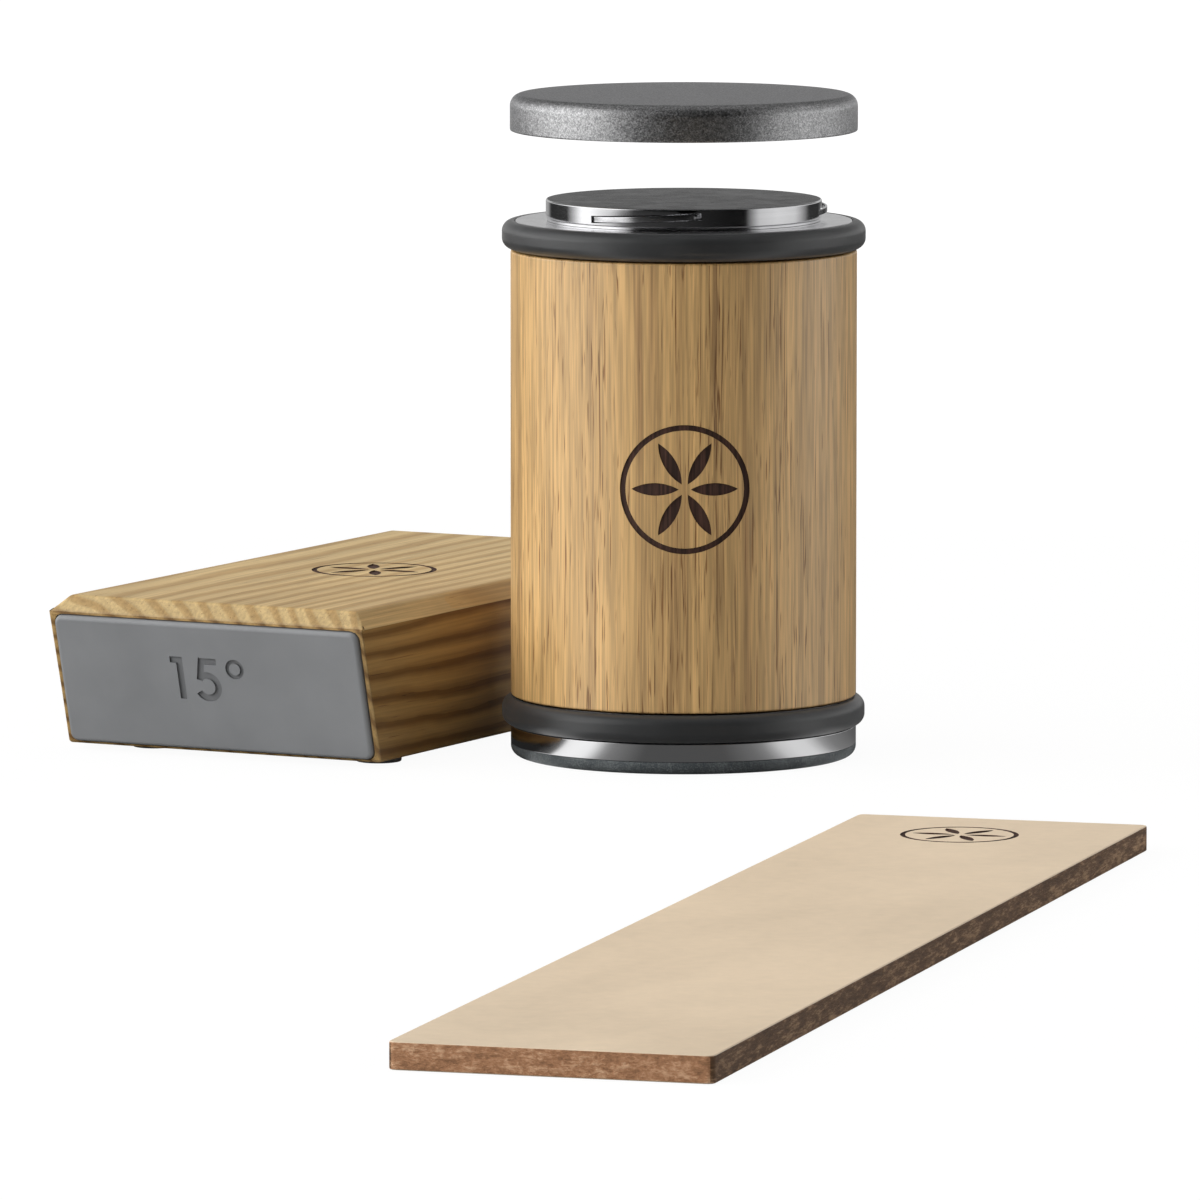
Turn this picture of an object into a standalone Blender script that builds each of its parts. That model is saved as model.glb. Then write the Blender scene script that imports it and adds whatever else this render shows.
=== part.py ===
"""Rolling knife sharpener set, standing on its honing disc.

The roller has an oak grip on two ball bearings, a steel end wheel with a rubber tyre at each end, and a
disc that clips on each end. The grinding disc is lifted off the top. Beside the roller stand the magnetic
angle block that holds the blade and a leather strop. Lengths are in metres, +Z is up, and the origin is
the middle of the roller's base.
"""

import math

import bmesh
import bpy
from mathutils import Matrix, Vector

# Grip
GRIP_RADIUS = 0.0300
GRIP_LENGTH = 0.0774
DRAWN_GRIP_WALL = 0.0058
GRIP_EDGE = 0.0004
LINER_WALL = 0.0019
LINER_INSET = 0.0005

# The radii inside the grip are drawn for a grip of this radius, and grow and shrink with it
HUB_DRAWN_FOR = 0.0300

# Clearances
RUNNING_GAP = 0.0003
FIT_GAP = 0.0002
SEAT_GAP = 0.0001
BOND_GAP = 0.00005
CUT_OVERRUN = 0.0010

# End wheels and tyres
WHEEL_INSET = 0.0008
WHEEL_THICKNESS = 0.0048
DRAWN_WHEEL_BOSS_RADIUS = 0.0082
TYRE_STAND = 0.0015
TYRE_SECTION_RADIUS = 0.0018
TYRE_FLAT = 0.0012
TYRE_TONGUE_DEPTH = 0.0020
TYRE_TONGUE_HEIGHT = 0.0022

# Axle
DRAWN_AXLE_RADIUS = 0.0059
AXLE_SINK_IN_WHEEL = 0.0031
DRAWN_STUD_RADIUS = 0.0029
STUD_LENGTH = 0.0110

# Bearings
BEARING_WIDTH = 0.0080
DRAWN_BEARING_RADIUS = 0.0140
DRAWN_RACE_WALL = 0.0024
DRAWN_BALL_RADIUS = 0.0023
DRAWN_BALL_PITCH_RADIUS = 0.0100
BALL_COUNT = 7
BALL_PLAY = 0.0002
DRAWN_CAGE_WALL = 0.0014
CAGE_HEIGHT = 0.0024
HOUSING_HEIGHT = 0.0130
DRAWN_HOUSING_SHOULDER_RADIUS = 0.0125
HOUSING_LIP = 0.0008
CIRCLIP_THICKNESS = 0.0010
CIRCLIP_WIDTH = 0.0021
CIRCLIP_DEPTH_IN_GROOVE = 0.0009
CIRCLIP_SPLIT = 0.0040

# Pucks and spring clips
PUCK_THICKNESS = 0.0037
PUCK_EDGE = 0.0003
SLOT_HEIGHT = 0.00125
SLOT_DEPTH = 0.0040
SLOT_WIDTH = 0.0198
SLOT_RISE = 0.0020
SLOT_LEAN = math.radians(2.7)
SLOT_COUNT = 3
FIRST_SLOT_ANGLE = math.radians(-107.6)
CLIP_HEIGHT = 0.00095
CLIP_THICKNESS = 0.00036
CLIP_REACH = 0.0012
CLIP_END_GAP = 0.0005
CLIP_BEND_RADIUS = 0.0005
CLIP_BEND_REACH = 0.0011

# Discs
DISC_WALL = 0.0057
GRIT_COAT = 0.0001
GRINDING_FLOOR = 0.0024
GRINDING_EDGE_RADIUS = 0.0020
GRINDING_LIFT = 0.0155
HONING_FLOOR = 0.0015
HONING_PLATE_RIM = 0.0022
HONING_EDGE_RADIUS = 0.0017
DISC_RECESS_PLAY = 0.0004
DISC_CLEARANCE = 0.0003
CLIP_GROOVE_DEPTH = 0.0013
CLIP_GROOVE_HEIGHT = 0.0018

# Angle block
BLOCK_WIDTH = 0.0620
BLOCK_LENGTH = 0.1224
BLOCK_HEIGHT = 0.0265
BLOCK_CHAMFER = 0.0027
BLOCK_FILLET = 0.0003
FRONT_ANGLE = math.radians(15.0)
REAR_ANGLE = math.radians(20.0)
BLOCK_PLACE = (-0.0545, 0.0420)
BLOCK_TURN = math.radians(-27.5)
PAD_SIDE_BORDER = 0.0010
PAD_END_BORDER = 0.0006
PAD_THICKNESS = 0.0020
PAD_SINK = 0.0012
PAD_CORNER = 0.0015
PAD_FILLET = 0.0008
KEEPER_SIDE_BORDER = 0.0060
KEEPER_WIDTH = 0.0140
KEEPER_THICKNESS = 0.0010
MAGNET_RADIUS = 0.0050
MAGNET_LENGTH = 0.0060
MAGNET_END_INSET = 0.0070
MAGNET_COUNT = 3
FOOT_RADIUS = 0.0040
FOOT_HEIGHT = 0.0010
FOOT_FILLET = 0.0003
FOOT_LEFT_INSET = 0.0120
FOOT_RIGHT_INSET = 0.0055
FOOT_END_INSET = 0.0095

# Strop
STROP_LENGTH = 0.2600
STROP_WIDTH = 0.0490
STROP_THICKNESS = 0.0042
STROP_CORNER = 0.0012
STROP_FILLET = 0.0003
STROP_PLACE = (0.0150, -0.2430)
STROP_TURN = math.radians(-16.4)

# Facets
LARGE_SIDES = 48
SMALL_SIDES = 24
BAR_SIDES = 16
ARC_STEPS = 3
FILLET_STEPS = 2
CLIP_STEPS = 10
SMOOTH_ANGLE = math.radians(35.0)
MERGE_DISTANCE = 0.000001

# Radii that follow from the grip's
HUB_SCALE = GRIP_RADIUS / HUB_DRAWN_FOR
GRIP_WALL = DRAWN_GRIP_WALL * HUB_SCALE
WHEEL_BOSS_RADIUS = DRAWN_WHEEL_BOSS_RADIUS * HUB_SCALE
AXLE_RADIUS = DRAWN_AXLE_RADIUS * HUB_SCALE
STUD_RADIUS = DRAWN_STUD_RADIUS * HUB_SCALE
BEARING_RADIUS = DRAWN_BEARING_RADIUS * HUB_SCALE
RACE_WALL = DRAWN_RACE_WALL * HUB_SCALE
BALL_RADIUS = DRAWN_BALL_RADIUS * HUB_SCALE
BALL_PITCH_RADIUS = DRAWN_BALL_PITCH_RADIUS * HUB_SCALE
CAGE_WALL = DRAWN_CAGE_WALL * HUB_SCALE
HOUSING_SHOULDER_RADIUS = DRAWN_HOUSING_SHOULDER_RADIUS * HUB_SCALE
GRIP_BORE_RADIUS = GRIP_RADIUS - GRIP_WALL
WHEEL_RADIUS = GRIP_RADIUS - WHEEL_INSET
TYRE_RADIUS = GRIP_RADIUS + TYRE_STAND
RECESS_RADIUS = GRIP_RADIUS - DISC_WALL
PUCK_RADIUS = RECESS_RADIUS - DISC_RECESS_PLAY
CLIP_GROOVE_RADIUS = RECESS_RADIUS + CLIP_GROOVE_DEPTH
HONING_RADIUS = RECESS_RADIUS + DISC_WALL
GRINDING_RADIUS = HONING_RADIUS + GRIT_COAT

# Heights on the roller, measured from the middle of the grip towards either end
GRIP_END = GRIP_LENGTH / 2
WHEEL_INNER = GRIP_END + RUNNING_GAP
WHEEL_OUTER = WHEEL_INNER + WHEEL_THICKNESS
WHEEL_MIDDLE = (WHEEL_INNER + WHEEL_OUTER) / 2
PUCK_OUTER = WHEEL_OUTER + PUCK_THICKNESS
SLOT_LEVEL = WHEEL_OUTER + SLOT_RISE
HOUSING_OUTER = GRIP_END - LINER_INSET
HOUSING_INNER = HOUSING_OUTER - HOUSING_HEIGHT
GROOVE_OUTER = HOUSING_OUTER - HOUSING_LIP
GROOVE_INNER = GROOVE_OUTER - CIRCLIP_THICKNESS - FIT_GAP
BEARING_OUTER = GROOVE_INNER - FIT_GAP
BEARING_MIDDLE = BEARING_OUTER - BEARING_WIDTH / 2
BEARING_INNER = BEARING_OUTER - BEARING_WIDTH
AXLE_END = WHEEL_INNER + AXLE_SINK_IN_WHEEL

# Sizes that the discs share with the pucks
DISC_SEAT = WHEEL_OUTER + SEAT_GAP
RECESS_DEPTH = PUCK_THICKNESS + DISC_CLEARANCE - SEAT_GAP
CLIP_GROOVE_LEVEL = SLOT_LEVEL - DISC_SEAT
GRINDING_THICKNESS = GRINDING_FLOOR + RECESS_DEPTH
HONING_THICKNESS = HONING_FLOOR + RECESS_DEPTH

ROLLER_MIDDLE = HONING_THICKNESS + DISC_SEAT

# Sizes worked out in the angle block
BLOCK_BROW = FOOT_HEIGHT + BLOCK_HEIGHT - BLOCK_CHAMFER
KEEPER_LENGTH = BLOCK_WIDTH - 2 * KEEPER_SIDE_BORDER
MAGNET_SPACING = (KEEPER_LENGTH - 2 * MAGNET_END_INSET) / (MAGNET_COUNT - 1)


def empty_scene():
    for obj in list(bpy.data.objects):
        bpy.data.objects.remove(obj)


def new_collection(name):
    group = bpy.data.collections.new(name)
    bpy.context.scene.collection.children.link(group)
    return group


empty_scene()
PARTS = new_collection("knife_sharpener")
CUTTERS = new_collection("cutters")


def finish(name, colour, roughness, metallic=0.0):
    material = bpy.data.materials.new(name)
    material.use_nodes = True
    shader = material.node_tree.nodes["Principled BSDF"]
    shader.inputs["Base Color"].default_value = (*colour, 1.0)
    shader.inputs["Roughness"].default_value = roughness
    shader.inputs["Metallic"].default_value = metallic
    return material


OAK = finish("oak", (0.52, 0.34, 0.17), 0.55)
RUBBER = finish("rubber", (0.035, 0.036, 0.038), 0.6)
STEEL = finish("steel", (0.62, 0.62, 0.63), 0.25, 1.0)
POLISHED = finish("polished_steel", (0.75, 0.75, 0.76), 0.08, 1.0)
ALUMINIUM = finish("aluminium", (0.78, 0.79, 0.80), 0.35, 1.0)
DIAMOND = finish("diamond_coat", (0.16, 0.165, 0.17), 0.5, 0.6)
CERAMIC = finish("honing_abrasive", (0.11, 0.13, 0.14), 0.75)
SILICONE = finish("silicone", (0.22, 0.225, 0.23), 0.55)
MAGNET = finish("magnet", (0.55, 0.54, 0.52), 0.3, 1.0)
LEATHER = finish("leather", (0.66, 0.50, 0.34), 0.7)


def frame_at(name, place, turn=None, parent=None):
    """An empty that carries pieces; its origin is their reference point."""
    empty = bpy.data.objects.new(name, None)
    PARTS.objects.link(empty)
    rotation = turn if turn is not None else Matrix.Identity(4)
    empty.matrix_basis = Matrix.Translation(place) @ rotation
    empty.parent = parent
    return empty


def piece(name, mesh, material, parent, cutter=False):
    obj = bpy.data.objects.new(name, mesh)
    obj.parent = parent
    if cutter:
        CUTTERS.objects.link(obj)
        obj.hide_render = True
        obj.display_type = "WIRE"
    else:
        PARTS.objects.link(obj)
        mesh.materials.append(material)
    return obj


def mesh_from(name, bm):
    mesh = bpy.data.meshes.new(name)
    bm.to_mesh(mesh)
    bm.free()
    mesh.shade_smooth()
    mesh.set_sharp_from_angle(angle=SMOOTH_ANGLE)
    return mesh


def cut(obj, cutter, operation="DIFFERENCE"):
    modifier = obj.modifiers.new(cutter.name, "BOOLEAN")
    modifier.object = cutter
    modifier.operation = operation
    modifier.solver = "MANIFOLD"


def arc(centre, radius, first, last, steps=ARC_STEPS):
    """Points of an arc in the profile plane, with the angles in degrees from +radius towards +height."""
    angles = [math.radians(first + (last - first) * i / steps) for i in range(steps + 1)]
    return [(centre[0] + radius * math.cos(a), centre[1] + radius * math.sin(a)) for a in angles]


def turned(name, outline, material, parent, closed=True, side=1, sides=LARGE_SIDES):
    """A profile of (radius, height) points turned about Z; side -1 turns the same profile upside down."""
    points = [(r, side * z) for r, z in outline]
    looped = points + [points[0]]
    area = sum(a[0] * b[1] - b[0] * a[1] for a, b in zip(looped, looped[1:]))
    if area > 0:
        points.reverse()
    bm = bmesh.new()
    ring = [bm.verts.new((r, 0, z)) for r, z in points]
    for first, second in zip(ring, ring[1:] + ring[:1] if closed else ring[1:]):
        bm.edges.new((first, second))
    obj = piece(name, mesh_from(name, bm), material, parent)
    screw = obj.modifiers.new("turn", "SCREW")
    screw.steps = sides
    screw.render_steps = sides
    screw.use_merge_vertices = True
    screw.merge_threshold = MERGE_DISTANCE
    screw.use_smooth_shade = True
    return obj


def slab(name, size, base, corner, fillet, material, parent, cutter=False):
    """A flat block with rounded corners, whose top edge may be rounded too; base is its lowest height."""
    bm = bmesh.new()
    bmesh.ops.create_cube(bm, size=1.0)
    bmesh.ops.scale(bm, vec=size, verts=bm.verts)
    bmesh.ops.translate(bm, vec=(0, 0, base + size[2] / 2), verts=bm.verts)
    if corner:
        upright = [e for e in bm.edges if abs(e.verts[0].co.z - e.verts[1].co.z) > size[2] / 2]
        bmesh.ops.bevel(
            bm, geom=upright, offset=corner, segments=ARC_STEPS, profile=0.5, affect="EDGES", material=-1
        )
    if fillet:
        top = base + size[2]
        rim = [e for e in bm.edges if min(v.co.z for v in e.verts) > top - fillet / 2]
        bmesh.ops.bevel(
            bm, geom=rim, offset=fillet, segments=FILLET_STEPS, profile=0.5, affect="EDGES", material=-1
        )
    return piece(name, mesh_from(name, bm), material, parent, cutter)


def round_bar(name, radius, base, length, place, material, parent, fillet=0.0, cutter=False):
    """An upright cylinder from the height base, with its lower edge rounded by fillet."""
    bm = bmesh.new()
    bmesh.ops.create_cone(
        bm, cap_ends=True, segments=BAR_SIDES, radius1=radius, radius2=radius, depth=length
    )
    bmesh.ops.translate(bm, vec=(*place, base + length / 2), verts=bm.verts)
    if fillet:
        rim = [e for e in bm.edges if max(v.co.z for v in e.verts) < base + fillet]
        bmesh.ops.bevel(
            bm, geom=rim, offset=fillet, segments=FILLET_STEPS, profile=0.5, affect="EDGES", material=-1
        )
    return piece(name, mesh_from(name, bm), material, parent, cutter)


def grip(roller):
    edge = GRIP_EDGE
    turned(
        "grip_sleeve",
        [
            (GRIP_BORE_RADIUS, GRIP_END),
            (GRIP_RADIUS - edge, GRIP_END),
            (GRIP_RADIUS, GRIP_END - edge),
            (GRIP_RADIUS, edge - GRIP_END),
            (GRIP_RADIUS - edge, -GRIP_END),
            (GRIP_BORE_RADIUS, -GRIP_END),
        ],
        OAK,
        roller,
    )
    outer = GRIP_BORE_RADIUS - FIT_GAP
    turned(
        "sleeve_liner",
        [
            (outer - LINER_WALL, HOUSING_OUTER),
            (outer, HOUSING_OUTER),
            (outer, -HOUSING_OUTER),
            (outer - LINER_WALL, -HOUSING_OUTER),
        ],
        ALUMINIUM,
        roller,
    )


def axle(roller):
    hole = STUD_RADIUS + FIT_GAP
    floor = WHEEL_OUTER - STUD_LENGTH - FIT_GAP
    turned(
        "axle",
        [
            (0, floor),
            (hole, floor),
            (hole, AXLE_END),
            (AXLE_RADIUS, AXLE_END),
            (AXLE_RADIUS, -AXLE_END),
            (hole, -AXLE_END),
            (hole, -floor),
            (0, -floor),
        ],
        STEEL,
        roller,
        closed=False,
        sides=SMALL_SIDES,
    )
    inner = AXLE_RADIUS + FIT_GAP
    end = BEARING_INNER - SEAT_GAP
    turned(
        "axle_spacer",
        [(inner, end), (WHEEL_BOSS_RADIUS, end), (WHEEL_BOSS_RADIUS, -end), (inner, -end)],
        ALUMINIUM,
        roller,
        sides=SMALL_SIDES,
    )


def wheel(end, side, roller):
    groove = WHEEL_RADIUS - TYRE_TONGUE_DEPTH - FIT_GAP
    half = TYRE_TONGUE_HEIGHT / 2 + FIT_GAP
    stud = STUD_RADIUS + FIT_GAP
    bore = AXLE_RADIUS + FIT_GAP
    boss = BEARING_OUTER + SEAT_GAP
    turned(
        f"wheel_{end}",
        [
            (stud, WHEEL_OUTER),
            (WHEEL_RADIUS, WHEEL_OUTER),
            (WHEEL_RADIUS, WHEEL_MIDDLE + half),
            (groove, WHEEL_MIDDLE + half),
            (groove, WHEEL_MIDDLE - half),
            (WHEEL_RADIUS, WHEEL_MIDDLE - half),
            (WHEEL_RADIUS, WHEEL_INNER),
            (WHEEL_BOSS_RADIUS, WHEEL_INNER),
            (WHEEL_BOSS_RADIUS, boss),
            (bore, boss),
            (bore, AXLE_END + FIT_GAP),
            (stud, AXLE_END + FIT_GAP),
        ],
        STEEL,
        roller,
        side=side,
    )


def tyre(end, side, roller):
    inner = WHEEL_RADIUS + FIT_GAP / 2
    centre = TYRE_RADIUS - TYRE_SECTION_RADIUS
    reach = math.degrees(math.acos((inner - centre) / TYRE_SECTION_RADIUS))
    high, low = WHEEL_MIDDLE + TYRE_FLAT / 2, WHEEL_MIDDLE - TYRE_FLAT / 2
    crown = arc((centre, high), TYRE_SECTION_RADIUS, reach, 0, ARC_STEPS + 1)
    crown += arc((centre, low), TYRE_SECTION_RADIUS, 0, -reach, ARC_STEPS + 1)
    tongue = WHEEL_RADIUS - TYRE_TONGUE_DEPTH
    half = TYRE_TONGUE_HEIGHT / 2
    turned(
        f"tyre_{end}",
        crown
        + [
            (inner, WHEEL_MIDDLE - half),
            (tongue, WHEEL_MIDDLE - half),
            (tongue, WHEEL_MIDDLE + half),
            (inner, WHEEL_MIDDLE + half),
        ],
        RUBBER,
        roller,
        side=side,
    )


def slot_angles():
    return [FIRST_SLOT_ANGLE + 2 * math.pi * i / SLOT_COUNT for i in range(SLOT_COUNT)]


def puck(end, side, roller):
    base = WHEEL_OUTER + BOND_GAP
    body = turned(
        f"puck_{end}",
        [
            (0, PUCK_OUTER),
            (PUCK_RADIUS - PUCK_EDGE, PUCK_OUTER),
            (PUCK_RADIUS, PUCK_OUTER - PUCK_EDGE),
            (PUCK_RADIUS, base + PUCK_EDGE),
            (PUCK_RADIUS - PUCK_EDGE, base),
            (STUD_RADIUS, base),
            (STUD_RADIUS, WHEEL_OUTER - STUD_LENGTH),
            (0, WHEEL_OUTER - STUD_LENGTH),
        ],
        POLISHED,
        roller,
        closed=False,
        side=side,
    )
    bm = bmesh.new()
    depth = SLOT_DEPTH + CUT_OVERRUN
    for angle in slot_angles():
        box = bmesh.ops.create_cube(bm, size=1.0)["verts"]
        bmesh.ops.scale(bm, vec=(depth, SLOT_WIDTH, SLOT_HEIGHT), verts=box)
        bmesh.ops.rotate(bm, cent=(0, 0, 0), matrix=Matrix.Rotation(SLOT_LEAN, 3, "X"), verts=box)
        centre = PUCK_RADIUS - SLOT_DEPTH + depth / 2
        bmesh.ops.translate(bm, vec=(centre, 0, side * SLOT_LEVEL), verts=box)
        bmesh.ops.rotate(bm, cent=(0, 0, 0), matrix=Matrix.Rotation(angle, 3, "Z"), verts=box)
    slots = piece(f"slots_{end}", mesh_from(f"slots_{end}", bm), None, roller, cutter=True)
    cut(body, slots)


def clip_line():
    """The middle line of a leaf clip in its slot, as (outwards, across) points: a bow that stands out of the
    puck in the middle, and a short bend into the slot at its far end."""
    floor = PUCK_RADIUS - SLOT_DEPTH + FIT_GAP + CLIP_THICKNESS / 2
    near = (floor, CLIP_END_GAP - SLOT_WIDTH / 2)
    far = (floor + CLIP_BEND_REACH, SLOT_WIDTH / 2 - CLIP_END_GAP - CLIP_BEND_RADIUS)
    rise = PUCK_RADIUS + CLIP_REACH - CLIP_THICKNESS / 2 - (near[0] + far[0]) / 2
    line = []
    for i in range(CLIP_STEPS + 1):
        share = i / CLIP_STEPS
        bow = 4 * rise * share * (1 - share)
        line.append((near[0] + (far[0] - near[0]) * share + bow, near[1] + (far[1] - near[1]) * share))
    slope = math.degrees(math.atan2(far[0] - near[0] - 4 * rise, far[1] - near[1]))
    outwards = math.radians(slope)
    centre = (far[0] - CLIP_BEND_RADIUS * math.cos(outwards), far[1] + CLIP_BEND_RADIUS * math.sin(outwards))
    return line[:-1] + arc(centre, CLIP_BEND_RADIUS, -slope, 90)


def spring_clip(name, angle, side, roller):
    """A bowed leaf spring on edge in its slot."""
    line = [Vector((outwards, across, 0)) for outwards, across in clip_line()]
    steps = [b - a for a, b in zip(line, line[1:])]
    turns = [steps[0]] + [a.normalized() + b.normalized() for a, b in zip(steps, steps[1:])] + [steps[-1]]
    outer = [p + Vector((t.y, -t.x, 0)).normalized() * CLIP_THICKNESS / 2 for p, t in zip(line, turns)]
    inner = [p - Vector((t.y, -t.x, 0)).normalized() * CLIP_THICKNESS / 2 for p, t in zip(line, turns)]
    bm = bmesh.new()
    lower = bm.faces.new([bm.verts.new(p) for p in outer + inner[::-1]])
    extruded = bmesh.ops.extrude_face_region(bm, geom=[lower])["geom"]
    top = [v for v in extruded if isinstance(v, bmesh.types.BMVert)]
    bmesh.ops.translate(bm, vec=(0, 0, CLIP_HEIGHT), verts=top)
    bmesh.ops.translate(bm, vec=(0, 0, -CLIP_HEIGHT / 2), verts=bm.verts)
    bmesh.ops.rotate(bm, cent=(0, 0, 0), matrix=Matrix.Rotation(SLOT_LEAN, 3, "X"), verts=bm.verts)
    bmesh.ops.translate(bm, vec=(0, 0, side * SLOT_LEVEL), verts=bm.verts)
    bmesh.ops.rotate(bm, cent=(0, 0, 0), matrix=Matrix.Rotation(angle, 3, "Z"), verts=bm.verts)
    bmesh.ops.recalc_face_normals(bm, faces=bm.faces)
    piece(name, mesh_from(name, bm), POLISHED, roller)


def race_groove(side_of_ball, shoulder):
    """The arc of a ball track, from its upper shoulder to its lower one."""
    radius = BALL_RADIUS + BALL_PLAY
    reach = math.degrees(math.acos(abs(shoulder - BALL_PITCH_RADIUS) / radius))
    middle = 0.0 if side_of_ball > 0 else 180.0
    turn = side_of_ball * reach
    return arc((BALL_PITCH_RADIUS, BEARING_MIDDLE), radius, middle + turn, middle - turn)


def bearing(end, side, roller):
    bore = AXLE_RADIUS + SEAT_GAP
    inner_shoulder = bore + RACE_WALL
    outer_shoulder = BEARING_RADIUS - RACE_WALL
    turned(
        f"inner_race_{end}",
        [(inner_shoulder, BEARING_OUTER)]
        + race_groove(-1, inner_shoulder)
        + [(inner_shoulder, BEARING_INNER), (bore, BEARING_INNER), (bore, BEARING_OUTER)],
        STEEL,
        roller,
        side=side,
        sides=SMALL_SIDES,
    )
    turned(
        f"outer_race_{end}",
        [(outer_shoulder, BEARING_OUTER)]
        + race_groove(1, outer_shoulder)
        + [(outer_shoulder, BEARING_INNER), (BEARING_RADIUS, BEARING_INNER), (BEARING_RADIUS, BEARING_OUTER)],
        STEEL,
        roller,
        side=side,
        sides=SMALL_SIDES,
    )
    top = BEARING_MIDDLE + CAGE_HEIGHT / 2
    bottom = BEARING_MIDDLE - CAGE_HEIGHT / 2
    cage = turned(
        f"ball_cage_{end}",
        [
            (BALL_PITCH_RADIUS - CAGE_WALL / 2, top),
            (BALL_PITCH_RADIUS + CAGE_WALL / 2, top),
            (BALL_PITCH_RADIUS + CAGE_WALL / 2, bottom),
            (BALL_PITCH_RADIUS - CAGE_WALL / 2, bottom),
        ],
        STEEL,
        roller,
        side=side,
        sides=SMALL_SIDES,
    )
    bm = bmesh.new()
    for i in range(BALL_COUNT):
        angle = 2 * math.pi * i / BALL_COUNT
        place = (
            BALL_PITCH_RADIUS * math.cos(angle),
            BALL_PITCH_RADIUS * math.sin(angle),
            side * BEARING_MIDDLE,
        )
        bmesh.ops.create_icosphere(bm, subdivisions=2, radius=BALL_RADIUS, matrix=Matrix.Translation(place))
    balls = piece(f"balls_{end}", mesh_from(f"balls_{end}", bm), None, roller, cutter=True)
    cut(cage, balls, "UNION")


def housing(end, side, roller):
    outer = GRIP_BORE_RADIUS - FIT_GAP - LINER_WALL - FIT_GAP
    seat = BEARING_RADIUS + FIT_GAP
    groove = BEARING_RADIUS + CIRCLIP_DEPTH_IN_GROOVE + FIT_GAP
    turned(
        f"bearing_housing_{end}",
        [
            (seat, HOUSING_OUTER),
            (outer, HOUSING_OUTER),
            (outer, HOUSING_INNER),
            (HOUSING_SHOULDER_RADIUS, HOUSING_INNER),
            (HOUSING_SHOULDER_RADIUS, BEARING_INNER - SEAT_GAP),
            (seat, BEARING_INNER - SEAT_GAP),
            (seat, GROOVE_INNER),
            (groove, GROOVE_INNER),
            (groove, GROOVE_OUTER),
            (seat, GROOVE_OUTER),
        ],
        ALUMINIUM,
        roller,
        side=side,
        sides=SMALL_SIDES,
    )
    rim = BEARING_RADIUS + CIRCLIP_DEPTH_IN_GROOVE
    top = GROOVE_OUTER - FIT_GAP / 2
    bottom = top - CIRCLIP_THICKNESS
    ring = turned(
        f"circlip_{end}",
        [(rim - CIRCLIP_WIDTH, top), (rim, top), (rim, bottom), (rim - CIRCLIP_WIDTH, bottom)],
        STEEL,
        roller,
        side=side,
        sides=SMALL_SIDES,
    )
    bm = bmesh.new()
    bmesh.ops.create_cube(bm, size=1.0)
    length = CIRCLIP_WIDTH + 2 * CUT_OVERRUN
    bmesh.ops.scale(bm, vec=(length, CIRCLIP_SPLIT, CIRCLIP_THICKNESS + 2 * CUT_OVERRUN), verts=bm.verts)
    bmesh.ops.translate(bm, vec=(rim - CIRCLIP_WIDTH / 2, 0, side * (top + bottom) / 2), verts=bm.verts)
    split = piece(f"split_{end}", mesh_from(f"split_{end}", bm), None, roller, cutter=True)
    cut(ring, split)


def clip_groove():
    """The recess wall of a disc with its groove for the clips, from the mouth inwards, heights from it."""
    low = CLIP_GROOVE_LEVEL - CLIP_GROOVE_HEIGHT / 2
    high = CLIP_GROOVE_LEVEL + CLIP_GROOVE_HEIGHT / 2
    return [
        (RECESS_RADIUS, 0),
        (RECESS_RADIUS, low),
        (CLIP_GROOVE_RADIUS, low),
        (CLIP_GROOVE_RADIUS, high),
        (RECESS_RADIUS, high),
    ]


def grinding_disc():
    mouth = ROLLER_MIDDLE + DISC_SEAT + GRINDING_LIFT
    lifted = frame_at("grinding_disc_frame", (0, 0, mouth))
    edge = GRINDING_EDGE_RADIUS
    rounding = arc((GRINDING_RADIUS - edge, GRINDING_THICKNESS - edge), edge, 90, 0)
    turned(
        "grinding_disc",
        [(0, GRINDING_THICKNESS)]
        + rounding
        + [(GRINDING_RADIUS, 0)]
        + clip_groove()
        + [(RECESS_RADIUS, RECESS_DEPTH), (0, RECESS_DEPTH)],
        DIAMOND,
        lifted,
        closed=False,
    )


def honing_disc():
    mouth = frame_at("honing_disc_frame", (0, 0, HONING_THICKNESS))
    seam = HONING_THICKNESS - HONING_PLATE_RIM
    carrier = clip_groove() + [
        (RECESS_RADIUS, seam - BOND_GAP),
        (HONING_RADIUS, seam - BOND_GAP),
        (HONING_RADIUS, 0),
    ]
    turned("honing_carrier", carrier, POLISHED, mouth, side=-1)
    edge = HONING_EDGE_RADIUS
    rounding = arc((HONING_RADIUS - edge, HONING_THICKNESS - edge), edge, 0, 90)
    turned(
        "honing_plate",
        [(0, RECESS_DEPTH), (RECESS_RADIUS, RECESS_DEPTH), (RECESS_RADIUS, seam), (HONING_RADIUS, seam)]
        + rounding
        + [(0, HONING_THICKNESS)],
        CERAMIC,
        mouth,
        closed=False,
        side=-1,
    )


def trim(bm, point, normal):
    """Cuts off what lies beyond a plane, and closes the cut."""
    everything = list(bm.verts) + list(bm.edges) + list(bm.faces)
    bmesh.ops.bisect_plane(bm, geom=everything, plane_co=point, plane_no=normal, clear_outer=True)
    bmesh.ops.holes_fill(bm, edges=[e for e in bm.edges if e.is_boundary])


def end_frame(name, toward, angle, block):
    """A frame on a slanted end: X across the block, Y up the slope and Z out of the face."""
    middle = (FOOT_HEIGHT + BLOCK_BROW) / 2
    setback = (BLOCK_BROW - middle) * math.tan(angle)
    out = Vector((0, toward * math.cos(angle), -math.sin(angle)))
    up = Vector((0, toward * math.sin(angle), math.cos(angle)))
    turn = Matrix((up.cross(out), up, out)).transposed().to_4x4()
    place = (0, toward * (BLOCK_LENGTH / 2 - setback), middle)
    return frame_at(name, place, turn, block)


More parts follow.
